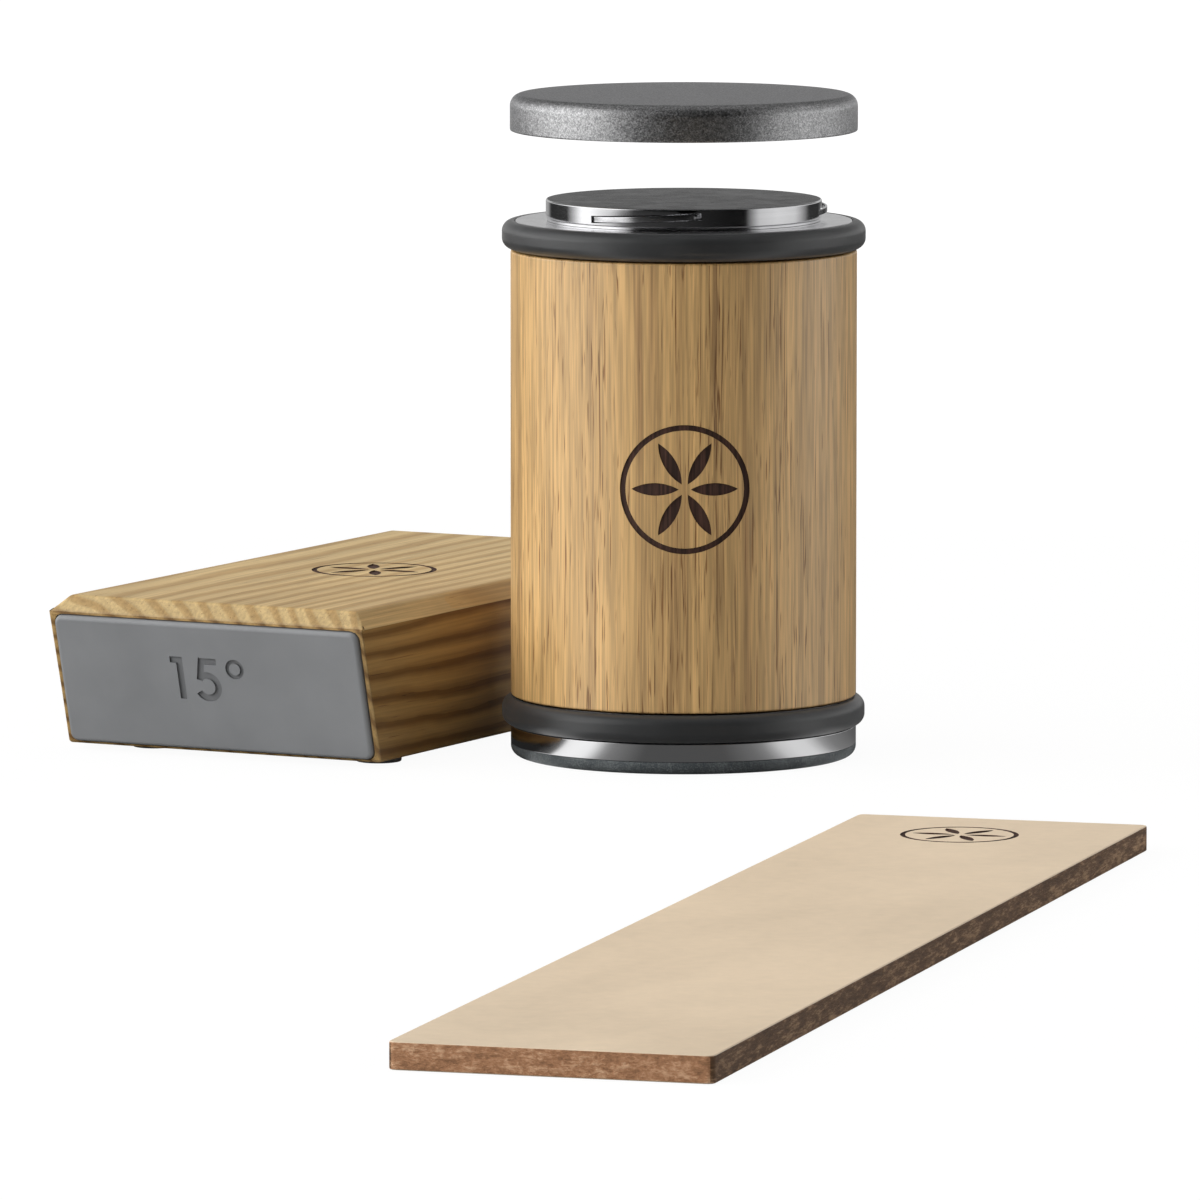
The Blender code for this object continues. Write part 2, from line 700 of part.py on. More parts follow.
def block_end(label, angle, face, body):
    """The pad, its steel keeper and its magnets in one slanted end, and the pockets that they sit in."""
    slope = (BLOCK_HEIGHT - BLOCK_CHAMFER) / math.cos(angle)
    pad = (BLOCK_WIDTH - 2 * PAD_SIDE_BORDER, slope - 2 * PAD_END_BORDER)
    slab(
        f"pad_{label}", (*pad, PAD_THICKNESS), BOND_GAP - PAD_SINK, PAD_CORNER, PAD_FILLET, SILICONE, face
    )
    room = (pad[0] + 2 * FIT_GAP, pad[1] + 2 * FIT_GAP, PAD_SINK + CUT_OVERRUN)
    pocket = slab(
        f"pad_pocket_{label}", room, -PAD_SINK, PAD_CORNER + FIT_GAP, 0, None, face, cutter=True
    )
    cut(body, pocket)
    keeper_floor = -PAD_SINK - KEEPER_THICKNESS - 2 * FIT_GAP
    slab(
        f"keeper_{label}",
        (KEEPER_LENGTH, KEEPER_WIDTH, KEEPER_THICKNESS),
        keeper_floor + FIT_GAP,
        PAD_CORNER,
        0,
        STEEL,
        face,
    )
    room = (KEEPER_LENGTH + 2 * FIT_GAP, KEEPER_WIDTH + 2 * FIT_GAP, CUT_OVERRUN - keeper_floor)
    pocket = slab(
        f"keeper_pocket_{label}", room, keeper_floor, PAD_CORNER + FIT_GAP, 0, None, face, cutter=True
    )
    cut(body, pocket)
    for i in range(MAGNET_COUNT):
        place = (MAGNET_SPACING * (i - (MAGNET_COUNT - 1) / 2), 0)
        floor = keeper_floor - MAGNET_LENGTH - FIT_GAP
        round_bar(
            f"magnet_{label}_{i + 1}", MAGNET_RADIUS, floor + FIT_GAP, MAGNET_LENGTH, place, MAGNET, face
        )
        hole = round_bar(
            f"magnet_pocket_{label}_{i + 1}",
            MAGNET_RADIUS + FIT_GAP,
            floor,
            CUT_OVERRUN - floor,
            place,
            None,
            face,
            cutter=True,
        )
        cut(body, hole)


def angle_block():
    block = frame_at("angle_block_frame", (*BLOCK_PLACE, 0), Matrix.Rotation(BLOCK_TURN, 4, "Z"))
    bm = bmesh.new()
    bmesh.ops.create_cube(bm, size=1.0)
    bmesh.ops.scale(bm, vec=(BLOCK_WIDTH, BLOCK_LENGTH, BLOCK_HEIGHT), verts=bm.verts)
    bmesh.ops.translate(bm, vec=(0, 0, FOOT_HEIGHT + BLOCK_HEIGHT / 2), verts=bm.verts)
    for toward, angle in ((-1, FRONT_ANGLE), (1, REAR_ANGLE)):
        edge = (0, toward * BLOCK_LENGTH / 2, BLOCK_BROW)
        trim(bm, edge, (0, toward * math.cos(angle), -math.sin(angle)))
        trim(bm, edge, (0, toward, 1))
        trim(bm, (toward * BLOCK_WIDTH / 2, 0, BLOCK_BROW), (toward, 0, 1))
    body = piece("block_body", mesh_from("block_body", bm), OAK, block)
    rounding = body.modifiers.new("fillets", "BEVEL")
    rounding.width = BLOCK_FILLET
    rounding.segments = FILLET_STEPS
    rounding.limit_method = "ANGLE"
    for label, toward, angle in (("15", -1, FRONT_ANGLE), ("20", 1, REAR_ANGLE)):
        face = end_frame(f"end_{label}_frame", toward, angle, block)
        block_end(label, angle, face, body)
    left = FOOT_LEFT_INSET - BLOCK_WIDTH / 2
    right = BLOCK_WIDTH / 2 - FOOT_RIGHT_INSET
    drop = BLOCK_HEIGHT - BLOCK_CHAMFER
    front = -BLOCK_LENGTH / 2 + drop * math.tan(FRONT_ANGLE) + FOOT_END_INSET
    rear = BLOCK_LENGTH / 2 - drop * math.tan(REAR_ANGLE) - FOOT_END_INSET
    places = [(left, front), (right, front), (left, rear), (right, rear)]
    for i, place in enumerate(places):
        round_bar(
            f"foot_{i + 1}", FOOT_RADIUS, 0, FOOT_HEIGHT - BOND_GAP, place, RUBBER, block, FOOT_FILLET
        )


def strop():
    place = frame_at("strop_frame", (*STROP_PLACE, 0), Matrix.Rotation(STROP_TURN, 4, "Z"))
    size = (STROP_WIDTH, STROP_LENGTH, STROP_THICKNESS)
    slab("strop", size, 0, STROP_CORNER, STROP_FILLET, LEATHER, place)


def main():
    roller = frame_at("roller_frame", (0, 0, ROLLER_MIDDLE))
    grip(roller)
    axle(roller)
    for end, side in (("upper", 1), ("lower", -1)):
        wheel(end, side, roller)
        tyre(end, side, roller)
        puck(end, side, roller)
        bearing(end, side, roller)
        housing(end, side, roller)
        for i, angle in enumerate(slot_angles()):
            spring_clip(f"clip_{end}_{i + 1}", angle, side, roller)
    grinding_disc()
    honing_disc()
    angle_block()
    strop()


main()
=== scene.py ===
"""The looks of the rolling knife sharpener set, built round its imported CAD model.

The roller stands upright with its grinding disc lifted off. The angle block stands behind it to the left, and
the strop lies in front. Lengths are in metres in the frame of the CAD model.
"""

import math

import bmesh
import bpy
from bpy.props import FloatProperty, FloatVectorProperty, IntProperty, PointerProperty
from mathutils import Matrix, Vector


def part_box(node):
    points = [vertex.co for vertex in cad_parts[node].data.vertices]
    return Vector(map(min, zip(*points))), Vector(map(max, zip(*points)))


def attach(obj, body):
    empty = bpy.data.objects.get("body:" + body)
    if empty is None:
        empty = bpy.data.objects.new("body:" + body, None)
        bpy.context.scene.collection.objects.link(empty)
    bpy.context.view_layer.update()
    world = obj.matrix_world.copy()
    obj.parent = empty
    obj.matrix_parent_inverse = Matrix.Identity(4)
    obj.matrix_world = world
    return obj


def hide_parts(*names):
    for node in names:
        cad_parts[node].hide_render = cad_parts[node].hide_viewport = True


bl_info = {
    "name": "Rolling Knife Sharpener",
    "version": (1, 0, 0),
    "blender": (4, 5, 0),
    "location": "View3D > Sidebar > Sharpener",
    "description": "Dresses the rolling knife sharpener, its angle block and its strop",
    "category": "Object",
}

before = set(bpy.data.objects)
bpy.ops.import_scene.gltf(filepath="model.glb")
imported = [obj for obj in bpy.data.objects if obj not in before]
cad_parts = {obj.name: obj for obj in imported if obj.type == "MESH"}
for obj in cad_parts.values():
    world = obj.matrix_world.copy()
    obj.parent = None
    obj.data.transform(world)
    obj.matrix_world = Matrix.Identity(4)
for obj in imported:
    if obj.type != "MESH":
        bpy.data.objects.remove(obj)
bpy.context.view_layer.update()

# Places and sizes taken from the CAD model
GRIP_LOW, GRIP_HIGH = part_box("grip_sleeve")
WHEEL_LOW, WHEEL_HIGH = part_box("wheel_upper")
TYRE_LOW, TYRE_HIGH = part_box("tyre_upper")
PUCK_LOW, PUCK_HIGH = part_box("puck_upper")
DISC_LOW, DISC_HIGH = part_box("grinding_disc")
PLATE_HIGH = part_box("honing_plate")[1]
CARRIER_LOW, CARRIER_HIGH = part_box("honing_carrier")
STROP_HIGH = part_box("strop")[1]

# The roller's two ends mirror each other about the middle of its grip; a tyre's level is counted from there
MIDDLE = (GRIP_LOW.z + GRIP_HIGH.z) / 2
TYRE_LEVEL = (TYRE_LOW.z + TYRE_HIGH.z) / 2 - MIDDLE
ENDS = {"upper": 1, "lower": -1}

# Sizes of the roller that its boxes don't give, and the set's fits, as in the CAD model
GRIP_BORE = 0.0242
WHEEL_RADIUS = 0.0292
WHEEL_BOSS_RADIUS = 0.0082
TYRE_TONGUE_DEPTH = 0.0020
TYRE_TONGUE_HEIGHT = 0.0022
TYRE_SECTION_RADIUS = 0.0018
TYRE_FLAT = 0.0012
RECESS_RADIUS = 0.0243
RECESS_DEPTH = 0.0039
GROOVE_RADIUS = 0.0256
GROOVE_LOW = 0.0010
GROOVE_HIGH = 0.0028
STUD_RADIUS = 0.0029
STUD_HOLE = 0.0031
AXLE_HOLE = 0.0061
AXLE_END = 0.0423
SLOT_HEIGHT = 0.00125
SLOT_DEPTH = 0.0040
SLOT_WIDTH = 0.0198
SLOT_DROP = 0.0017
SLOT_LEAN = math.radians(2.7)
SLOT_TURN = -107.6
SLOT_ANGLES = [math.radians(SLOT_TURN + 120 * i) for i in range(3)]
CLIP_HEIGHT = 0.00095
CLIP_THICKNESS = 0.00036
CLIP_CREST = 0.0012
CLIP_NEAR_GAP = 0.0003
CLIP_END_GAP = 0.0005
CLIP_FLOOR_GAP = 0.0002
CLIP_BEND_RADIUS = 0.0005
CLIP_BEND_REACH = 0.0011
CLIP_STEPS = 32
FIT_GAP = 0.0002
BOND_GAP = 0.00005

# Small edges of the roller that only the looks have; the seat's own are shares of its foot's height and of
# the other steel's edges
CLIP_EDGE = 0.00008
PUCK_FOOT_HEIGHT = 0.0006
PUCK_FOOT_STEP = 0.00022
PUCK_FOOT_SLOPE_SHARE = 0.55
PUCK_EDGE_SHARE = 1.4
DISC_MOUTH_EDGE = 0.00025
PLATE_RIM_EDGE = 0.00010

# Sizes of the angle block and the strop, as in the CAD model
BLOCK_WIDTH = 0.0620
BLOCK_LENGTH = 0.1224
BLOCK_HEIGHT = 0.0265
BLOCK_CHAMFER = 0.0027
BLOCK_FILLET = 0.0006
BLOCK_PLACE = Vector((-0.0545, 0.0420, 0))
BLOCK_TURN = math.radians(-27.5)
BLOCK_ENDS = {"15": (-1, math.radians(15)), "20": (1, math.radians(20))}
FOOT_HEIGHT = 0.0010
FOOT_FILLET = 0.0003
BLOCK_BROW = FOOT_HEIGHT + BLOCK_HEIGHT - BLOCK_CHAMFER
PAD_SIDE_BORDER = 0.0010
PAD_END_BORDER = 0.0006
PAD_THICKNESS = 0.0020
PAD_SINK = 0.0012
PAD_CORNER = 0.0015
PAD_FILLET = 0.0008
KEEPER_LENGTH = 0.0500
KEEPER_WIDTH = 0.0140
KEEPER_THICKNESS = 0.0010
MAGNET_RADIUS = 0.0050
MAGNET_LENGTH = 0.0060
MAGNET_SPACING = 0.0180
STROP_SIZE = Vector((0.0490, 0.2600, 0.0042))
STROP_PLACE = Vector((0.0150, -0.2430, 0))
STROP_TURN = math.radians(-16.4)
STROP_CORNER = 0.0012
STROP_FILLET = 0.0003

# The rosette: its petals run between these shares of the ring's inner radius. On the strop it is a little
# smaller, and this far from the middle line and from the far end
PETALS = 6
PETAL_FOOT_SHARE = 0.10
PETAL_TIP_SHARE = 0.90
STROP_MARK_SHARE = 0.87
STROP_MARK_ASIDE = -0.0021
STROP_MARK_FROM_END = 0.0204
STAMP_REACH = 0.02

# The numbers in the pads: the height of their capitals, and their place from the middle of the face
CAPITAL = 0.0078
NUMBER_LEFT = -0.0058
NUMBER_TOP = 0.0055
DEGREE_STROKE = 0.00072

# The oak's rings run round a line beside and below the block
RINGS_CENTRE = Vector((-0.056, 0, -0.058))

# The floor, a hair below the feet, the glowing cards that only reflections show, as painted reflections, and
# the point that the lamps face
FLOOR_RADIUS = 16.0
FLOOR_DROP = 0.00005
PAINTED_FLOOR_REFLECTION_RADIUS = 0.7
PAINTED_FLOOR_REFLECTION_DROP = 0.0002
MIRROR_REACH = 0.9
MIRROR_STRENGTH = 1.6
LIGHT_AIM = Vector((0, -0.05, 0.05))

# The camera, fitted to edges measured in the photograph; its dip is in degrees, its lens in millimetres
CAMERA_PLACE = (-0.0145, -2.072, 0.264)
CAMERA_DIP = 6.5286
CAMERA_LENS = 360.2
CAMERA_SENSOR = 36.0
CAMERA_REACH = 60.0

# Fineness of the meshes
SAME_POINT = 0.000001
NEAR = 0.00002
SHARP_ANGLE = math.radians(32)
OVERRUN = 0.0010
ROUND_STEPS = 96
ARC_STEPS = 36
FOOT_SIDES = 64
HOLE_SIDES = 48

BLOCK_FRAME = Matrix.Translation(BLOCK_PLACE) @ Matrix.Rotation(BLOCK_TURN, 4, "Z")
STROP_FRAME = Matrix.Translation(STROP_PLACE) @ Matrix.Rotation(STROP_TURN, 4, "Z")


def length_property(name, description, default):
    return FloatProperty(name=name, description=description, default=default, unit="LENGTH")


def colour_property(name, description, default):
    return FloatVectorProperty(name=name, description=description, default=default, size=3, subtype="COLOR")


def power_property(name, description, default):
    return FloatProperty(name=name, description=description, default=default, unit="POWER")


class RollerSizes(bpy.types.PropertyGroup):
    """How finely the roller's turned pieces are made, and their small edges"""

    sides: IntProperty(
        name="Sides", description="Flat faces round a turned piece", default=192, min=48, max=384
    )
    grip_edge: length_property("Grip edge", "Rounding of the wood's ends", 0.0004)
    metal_edge: length_property("Metal edge", "Rounding of the turned steel's edges", 0.00018)
    disc_edge: length_property("Disc edge", "Rounding of the grinding disc's rim", 0.0020)
    plate_edge: length_property("Plate edge", "Rounding of the honing disc's rim", 0.0017)


class MarkSizes(bpy.types.PropertyGroup):
    """The burnt rosette on the wood and the leather, and the numbers in the pads"""

    rosette_radius: length_property("Rosette radius", "Outer radius of the burnt ring", 0.0111)
    ring_width: length_property("Ring width", "Width of the burnt ring", 0.00095)
    rosette_depth: length_property("Burn depth", "How deep the mark is burnt in", 0.00022)
    stroke: length_property("Number stroke", "Width of the numbers' strokes", 0.00128)
    bar: length_property("Number bar", "Width of the numbers' flat strokes", 0.00118)
    number_depth: length_property("Number depth", "How deep the numbers are sunk", 0.00045)


class Finishes(bpy.types.PropertyGroup):
    """Base colours of the set's main finishes"""

    oak_pale: colour_property("Pale oak", "Early wood of the grip", (0.61, 0.378, 0.148))
    oak_dark: colour_property("Dark oak", "Late wood of the grip", (0.36, 0.205, 0.080))
    block_pale: colour_property("Block's pale oak", "Early wood of the block", (0.535, 0.385, 0.180))
    # The darkest stop of the block's sides, whose colours are partly painted shade
    block_side_dark_and_shade: colour_property("Block's dark oak", "Late wood on the block's sides", (0.19, 0.098, 0.027))
    burn: colour_property("Burn", "Burnt marks", (0.040, 0.018, 0.012))
    rubber: colour_property("Rubber", "Tyres and feet", (0.030, 0.031, 0.032))
    steel: colour_property("Steel", "Turned steel", (0.62, 0.62, 0.63))
    silicone: colour_property("Pad", "The block's pads", (0.222, 0.227, 0.234))
    leather: colour_property("Leather", "The strop's smooth side", (0.69, 0.555, 0.40))


class StageLight(bpy.types.PropertyGroup):
    """Strength of the studio's light"""

    left: power_property("Left", "Power of the softbox on the left", 21.5)
    right: power_property("Right", "Power of the softbox on the right", 10.5)
    top: power_property("Top", "Power of the softbox above", 10.0)
    front: power_property("Front", "Power of the fill from the front", 12.0)
    around: FloatProperty(name="Around", description="Strength of the light from all round", default=0.10)


# Nodes


def new_material(name):
    material = bpy.data.materials.new(name)
    material.use_nodes = True
    return material, material.node_tree, material.node_tree.nodes["Principled BSDF"]


def plug(tree, socket, value):
    """Links a socket to another node's output, or sets it to a number, a vector or a colour."""
    if isinstance(value, bpy.types.NodeSocket):
        tree.links.new(value, socket)
    elif socket.type == "RGBA":
        socket.default_value = (*value, 1)
    else:
        socket.default_value = value


def add(tree, kind, inputs=None, **settings):
    """A node with its settings, and with inputs that are named or numbered."""
    node = tree.nodes.new(kind)
    for name, value in settings.items():
        setattr(node, name, value)
    for name, value in (inputs or {}).items():
        plug(tree, node.inputs[name], value)
    return node


def put(tree, shader, **inputs):
    """Fills a shader's own sockets; a word's underscores stand for spaces."""
    for name, value in inputs.items():
        plug(tree, shader.inputs[name.replace("_", " ")], value)


def at_object(tree, turn=0.0, place=(0, 0, 0)):
    """Object coordinates, turned about Z and then moved."""
    coordinates = add(tree, "ShaderNodeTexCoord").outputs["Object"]
    inputs = {"Vector": coordinates, "Location": place, "Rotation": (0, 0, turn)}
    return add(tree, "ShaderNodeMapping", inputs).outputs["Vector"]


def at_piece(tree, place, turn, centre=(0, 0, 0)):
    """Coordinates along a piece that stands at a place and is turned about Z, from a centre of its own."""
    back = Matrix.Rotation(-turn, 3, "Z")
    return at_object(tree, -turn, -(back @ place) - Vector(centre))


def noise(tree, vector, scale, detail=2.0, roughness=0.5, distortion=0.0):
    """Noise with one scale, or with a tuple of scales along the three axes."""
    if isinstance(scale, tuple):
        vector = add(tree, "ShaderNodeMapping", {"Vector": vector, "Scale": scale}).outputs["Vector"]
        scale = 1.0
    inputs = {"Vector": vector, "Scale": scale, "Detail": detail, "Roughness": roughness}
    return add(tree, "ShaderNodeTexNoise", {**inputs, "Distortion": distortion}).outputs["Fac"]


def ramp(tree, value, *stops):
    """A colour ramp of (position, colour or grey) stops."""
    node = add(tree, "ShaderNodeValToRGB", {"Fac": value})
    elements = node.color_ramp.elements
    while len(elements) < len(stops):
        elements.new(0.5)
    for element, (position, colour) in zip(elements, stops):
        element.position = position
        element.color = (*colour, 1) if hasattr(colour, "__len__") else (colour, colour, colour, 1)
    return node.outputs["Color"]


def mix(tree, factor, first, second, blend="MIX"):
    inputs = {0: factor, 6: first, 7: second}
    return add(tree, "ShaderNodeMix", inputs, data_type="RGBA", blend_type=blend).outputs[2]


def tinted(tree, colour, tint):
    return mix(tree, 1.0, colour, tint, "MULTIPLY")


def maths(tree, operation, first, second=0.0):
    return add(tree, "ShaderNodeMath", {0: first, 1: second}, operation=operation).outputs["Value"]


def weighted(tree, *parts):
    """The sum of values, each times its share."""
    total = 0.0
    for value, share in parts:
        total = maths(tree, "ADD", maths(tree, "MULTIPLY", value, share), total)
    return total


def wavered(tree, place, stretch, detail, reach, axes):
    """Places moved to and fro along some axes, by up to half of reach."""
    waver = noise(tree, place, stretch, detail)
    shift = maths(tree, "MULTIPLY", maths(tree, "SUBTRACT", waver, 0.5), reach)
    offset = add(tree, "ShaderNodeCombineXYZ", {axis: shift for axis in axes}).outputs["Vector"]
    return add(tree, "ShaderNodeVectorMath", {0: place, 1: offset}, operation="ADD").outputs["Vector"]


def bump(tree, height, distance, strength=1.0, normal=None):
    inputs = {"Height": height, "Distance": distance, "Strength": strength}
    if normal is not None:
        inputs["Normal"] = normal
    return add(tree, "ShaderNodeBump", inputs).outputs["Normal"]


def shade(colour, factor):
    return tuple(channel * factor for channel in colour)


# Finishes


def oak_surface(tree, shader, colour, fibres, pores, roughness, gloss):
    """Fibres, hair-fine open pores and a low gloss over a colour of oak."""
    fibred = tinted(tree, colour, ramp(tree, fibres, (0.39, 0.80), (0.61, 1.16)))
    final = mix(tree, pores, fibred, tinted(tree, fibred, (0.42, 0.31, 0.20)))
    grain = bump(tree, fibres, 0.00003, 0.5)
    pitted = bump(tree, maths(tree, "SUBTRACT", 1.0, pores), 0.00005, 0.5, grain)
    put(tree, shader, Base_Color=final, Normal=pitted, Roughness=roughness, Specular_IOR_Level=gloss)


def make_grip_oak(finishes):
    """Straight-grained oak: fine lines run up the grip, with long hair-fine pores in patches."""
    material, tree, shader = new_material("grip_oak")
    moved = wavered(tree, at_object(tree), (60, 60, 9), 1.0, 0.0012, "X")
    broad = noise(tree, moved, (90, 60, 1.5), 1.0)
    stripes = noise(tree, moved, (520, 420, 9.0), 3.0, 0.65)
    colour = ramp(
        tree,
        weighted(tree, (broad, 0.35), (stripes, 0.65)),
        (0.34, finishes.oak_dark),
        (0.44, shade(finishes.oak_pale, 0.86)),
        (0.54, finishes.oak_pale),
        (0.66, shade(finishes.oak_pale, 1.20)),
    )
    fibres = noise(tree, moved, (2000, 1800, 48), 2.0, 0.6)
    hairs = noise(tree, moved, (2700, 2500, 36), 1.0)
    flecks = noise(tree, moved, (3000, 2800, 120), 1.0)
    patches = noise(tree, moved, (150, 120, 14), 1.0)
    depth = maths(tree, "ADD", maths(tree, "MAXIMUM", hairs, flecks), maths(tree, "MULTIPLY", patches, 0.22))
    pores = ramp(tree, depth, (0.765, 0.0), (0.84, 1.0))
    oak_surface(tree, shader, colour, fibres, pores, 0.37, 1.0)
    return material


def make_block_oak(finishes):
    """Oak cut across its rings, which run along the block and show most on its sides, with painted shade
    there.
    """
    material, tree, shader = new_material("block_oak")
    place = at_piece(tree, BLOCK_PLACE, BLOCK_TURN, RINGS_CENTRE)
    moved = wavered(tree, place, (38, 9, 38), 2.0, 0.0040, "XZ")
    rings = add(
        tree,
        "ShaderNodeTexWave",
        {"Vector": moved, "Scale": 118.0, "Distortion": 0.5, "Detail": 2.0, "Detail Scale": 1.2},
        wave_type="RINGS",
        rings_direction="Y",
        wave_profile="SAW",
    ).outputs["Fac"]
    pale = finishes.block_pale
    faint = ramp(
        tree,
        rings,
        (0.0, shade(pale, 0.84)),
        (0.12, shade(pale, 1.03)),
        (0.50, shade(pale, 1.09)),
        (0.62, (0.46, 0.305, 0.125)),
        (0.88, (0.40, 0.255, 0.100)),
        (1.0, (0.46, 0.310, 0.130)),
    )
    # The sides' colours: stronger late-wood rings, and darker overall as painted shade
    side_rings_and_painted_shade = ramp(
        tree,
        rings,
        (0.0, (0.28, 0.165, 0.055)),
        (0.34, (0.44, 0.280, 0.105)),
        (0.56, (0.43, 0.270, 0.098)),
        (0.82, finishes.block_side_dark_and_shade),
        (1.0, (0.20, 0.108, 0.031)),
    )
    normal = add(tree, "ShaderNodeTexCoord").outputs["Normal"]
    facing = add(tree, "ShaderNodeSeparateXYZ", {"Vector": normal}).outputs
    # Faces that point up take the faint colours, and the sides take the darker ones with their painted shade
    facing_up = ramp(tree, facing["Z"], (0.05, 0.0), (0.66, 1.0))
    colour = mix(tree, facing_up, side_rings_and_painted_shade, faint)
    end_grain = ramp(tree, maths(tree, "ABSOLUTE", facing["Y"]), (0.50, 1.0), (0.61, 0.88))
    colour = tinted(tree, colour, end_grain)
    patches = ramp(tree, noise(tree, place, (40, 9, 40)), (0.35, 0.93), (0.65, 1.05))
    colour = tinted(tree, colour, patches)
    fibres = noise(tree, moved, (1900, 26, 1900), 3.0, 0.6)
    fibres = maths(tree, "ADD", maths(tree, "MULTIPLY", fibres, 0.6), 0.2)
    hairs = noise(tree, moved, (4200, 60, 4200), 1.0)
    pores = ramp(tree, hairs, (0.70, 0.0), (0.78, 1.0))
    oak_surface(tree, shader, colour, fibres, pores, 0.48, 0.45)
    return material


def make_burn(name, finishes, along):
    """A burnt mark, in which the grain still shows; along is the grain's stretch on each axis."""
    material, tree, shader = new_material(name)
    grain = noise(tree, at_object(tree), along, 3.0, 0.6)
    colour = ramp(tree, grain, (0.35, shade(finishes.burn, 0.6)), (0.65, shade(finishes.burn, 1.9)))
    put(tree, shader, Base_Color=colour, Normal=bump(tree, grain, 0.00006), Roughness=0.75)
    return material


def make_rubber(finishes):
    """Dark rubber with a fine skin, a little dust and a trace of bloom at its edges."""
    material, tree, shader = new_material("rubber")
    place = at_object(tree)
    skin = noise(tree, place, 5200.0, 3.0, 0.6)
    dust = noise(tree, place, 130.0, 4.0, 0.6)
    colour = ramp(
        tree,
        dust,
        (0.35, shade(finishes.rubber, 0.85)),
        (0.62, finishes.rubber),
        (0.78, shade(finishes.rubber, 1.35)),
    )
    roughness = ramp(tree, dust, (0.3, 0.31), (0.7, 0.38))
    relief = bump(tree, skin, 0.00002)
    put(tree, shader, Base_Color=colour, Roughness=roughness, Specular_IOR_Level=0.7, Normal=relief)
    put(tree, shader, Sheen_Weight=0.08, Sheen_Roughness=0.50)
    return material


def radius_of(tree, place):
    """How far places are from the Z axis."""
    flat = add(tree, "ShaderNodeVectorMath", {0: place, 1: (1, 1, 0)}, operation="MULTIPLY").outputs["Vector"]
    return add(tree, "ShaderNodeVectorMath", {0: flat}, operation="LENGTH").outputs["Value"]


def make_turned_steel(name, tint, roughness, line_depth, line_pitch=0.00011, glance=1.0):
    """Steel faced on a lathe: fine rings round the axis, and tool marks round the sides. Glance is its
    brightness where it is seen nearly edge-on."""
    material, tree, shader = new_material(name)
    place = at_object(tree)
    radius = radius_of(tree, place)
    height = add(tree, "ShaderNodeSeparateXYZ", {"Vector": place}).outputs["Z"]
    path = add(tree, "ShaderNodeCombineXYZ", {"X": radius, "Y": 0.0, "Z": height}).outputs["Vector"]
    lines = noise(tree, path, 1.0 / line_pitch, 2.0, 0.6)
    cloud = noise(tree, place, 220.0, 3.0, 0.6)
    wear = weighted(tree, (lines, 0.5), (cloud, 0.5))
    put(
        tree,
        shader,
        Base_Color=ramp(tree, lines, (0.3, shade(tint, 0.94)), (0.7, tint)),
        Metallic=1.0,
        Roughness=ramp(tree, wear, (0.35, roughness * 0.8), (0.65, roughness * 1.25)),
        Specular_Tint=(glance, glance, glance),
        Normal=bump(tree, lines, line_depth),
    )
    return material


def make_polished_steel(finishes):
    """Mirror-bright steel with the faintest round lines and a trace of handling."""
    material, tree, shader = new_material("polished_steel")
    place = at_object(tree)
    lines = noise(tree, place, (14, 14, 1600), 3.0, 0.6)
    smear = noise(tree, place, 90.0, 4.0, 0.65)
    colour = ramp(tree, lines, (0.3, shade(finishes.steel, 1.18)), (0.7, shade(finishes.steel, 1.28)))
    put(
        tree,
        shader,
        Base_Color=colour,
        Metallic=1.0,
        Roughness=ramp(tree, smear, (0.3, 0.07), (0.7, 0.12)),
        Normal=bump(tree, lines, 0.000004, 0.4),
    )
    return material


def make_grit():
    """Fine diamond grit held in grey metal."""
    material, tree, shader = new_material("diamond_grit")
    place = at_object(tree)
    grains = add(tree, "ShaderNodeTexVoronoi", {"Vector": place, "Scale": 5200.0}, feature="F1")
    bond = noise(tree, place, 2400.0, 4.0, 0.7)
    bright = add(tree, "ShaderNodeSeparateXYZ", {"Vector": grains.outputs["Color"]}).outputs["X"]
    colour = ramp(
        tree,
        weighted(tree, (bright, 0.5), (bond, 0.5)),
        (0.25, (0.28, 0.28, 0.285)),
        (0.55, (0.50, 0.50, 0.505)),
        (0.80, (0.76, 0.76, 0.765)),
    )
    lumps = maths(tree, "ADD", maths(tree, "MULTIPLY", grains.outputs["Distance"], 0.8), bond)
    put(
        tree,
        shader,
        Base_Color=colour,
        Metallic=1.0,
        Specular_Tint=(0.70, 0.70, 0.71),
        Roughness=ramp(tree, bright, (0.0, 0.32), (1.0, 0.46)),
        Normal=bump(tree, lumps, 0.00001, 0.7),
    )
    return material


def make_honing_stone():
    """Fine blue-grey honing compound, with paler grains and faint clouds."""
    material, tree, shader = new_material("honing_stone")
    place = at_object(tree)
    grain = noise(tree, place, 4200.0, 3.0, 0.7)
    cloud = noise(tree, place, 160.0, 4.0, 0.6)
    colour = ramp(
        tree,
        weighted(tree, (grain, 0.6), (cloud, 0.4)),
        (0.40, (0.050, 0.059, 0.063)),
        (0.50, (0.092, 0.105, 0.110)),
        (0.62, (0.200, 0.215, 0.220)),
    )
    put(tree, shader, Base_Color=colour, Roughness=0.62, Metallic=0.2, Normal=bump(tree, grain, 0.00006))
    return material


def make_silicone(name, finishes, tone):
    """Soft matt silicone with a very fine moulded skin and faint clouds; tone makes it paler or darker."""
    material, tree, shader = new_material(name)
    place = at_object(tree)
    skin = noise(tree, place, 3600.0, 3.0, 0.6)
    cloud = noise(tree, place, 70.0, 3.0, 0.55)
    colour = ramp(
        tree,
        cloud,
        (0.30, shade(finishes.silicone, 0.94 * tone)),
        (0.70, shade(finishes.silicone, 1.06 * tone)),
    )
    rough = ramp(tree, cloud, (0.3, 0.46), (0.7, 0.56))
    put(tree, shader, Base_Color=colour, Roughness=rough, Normal=bump(tree, skin, 0.00002))
    return material


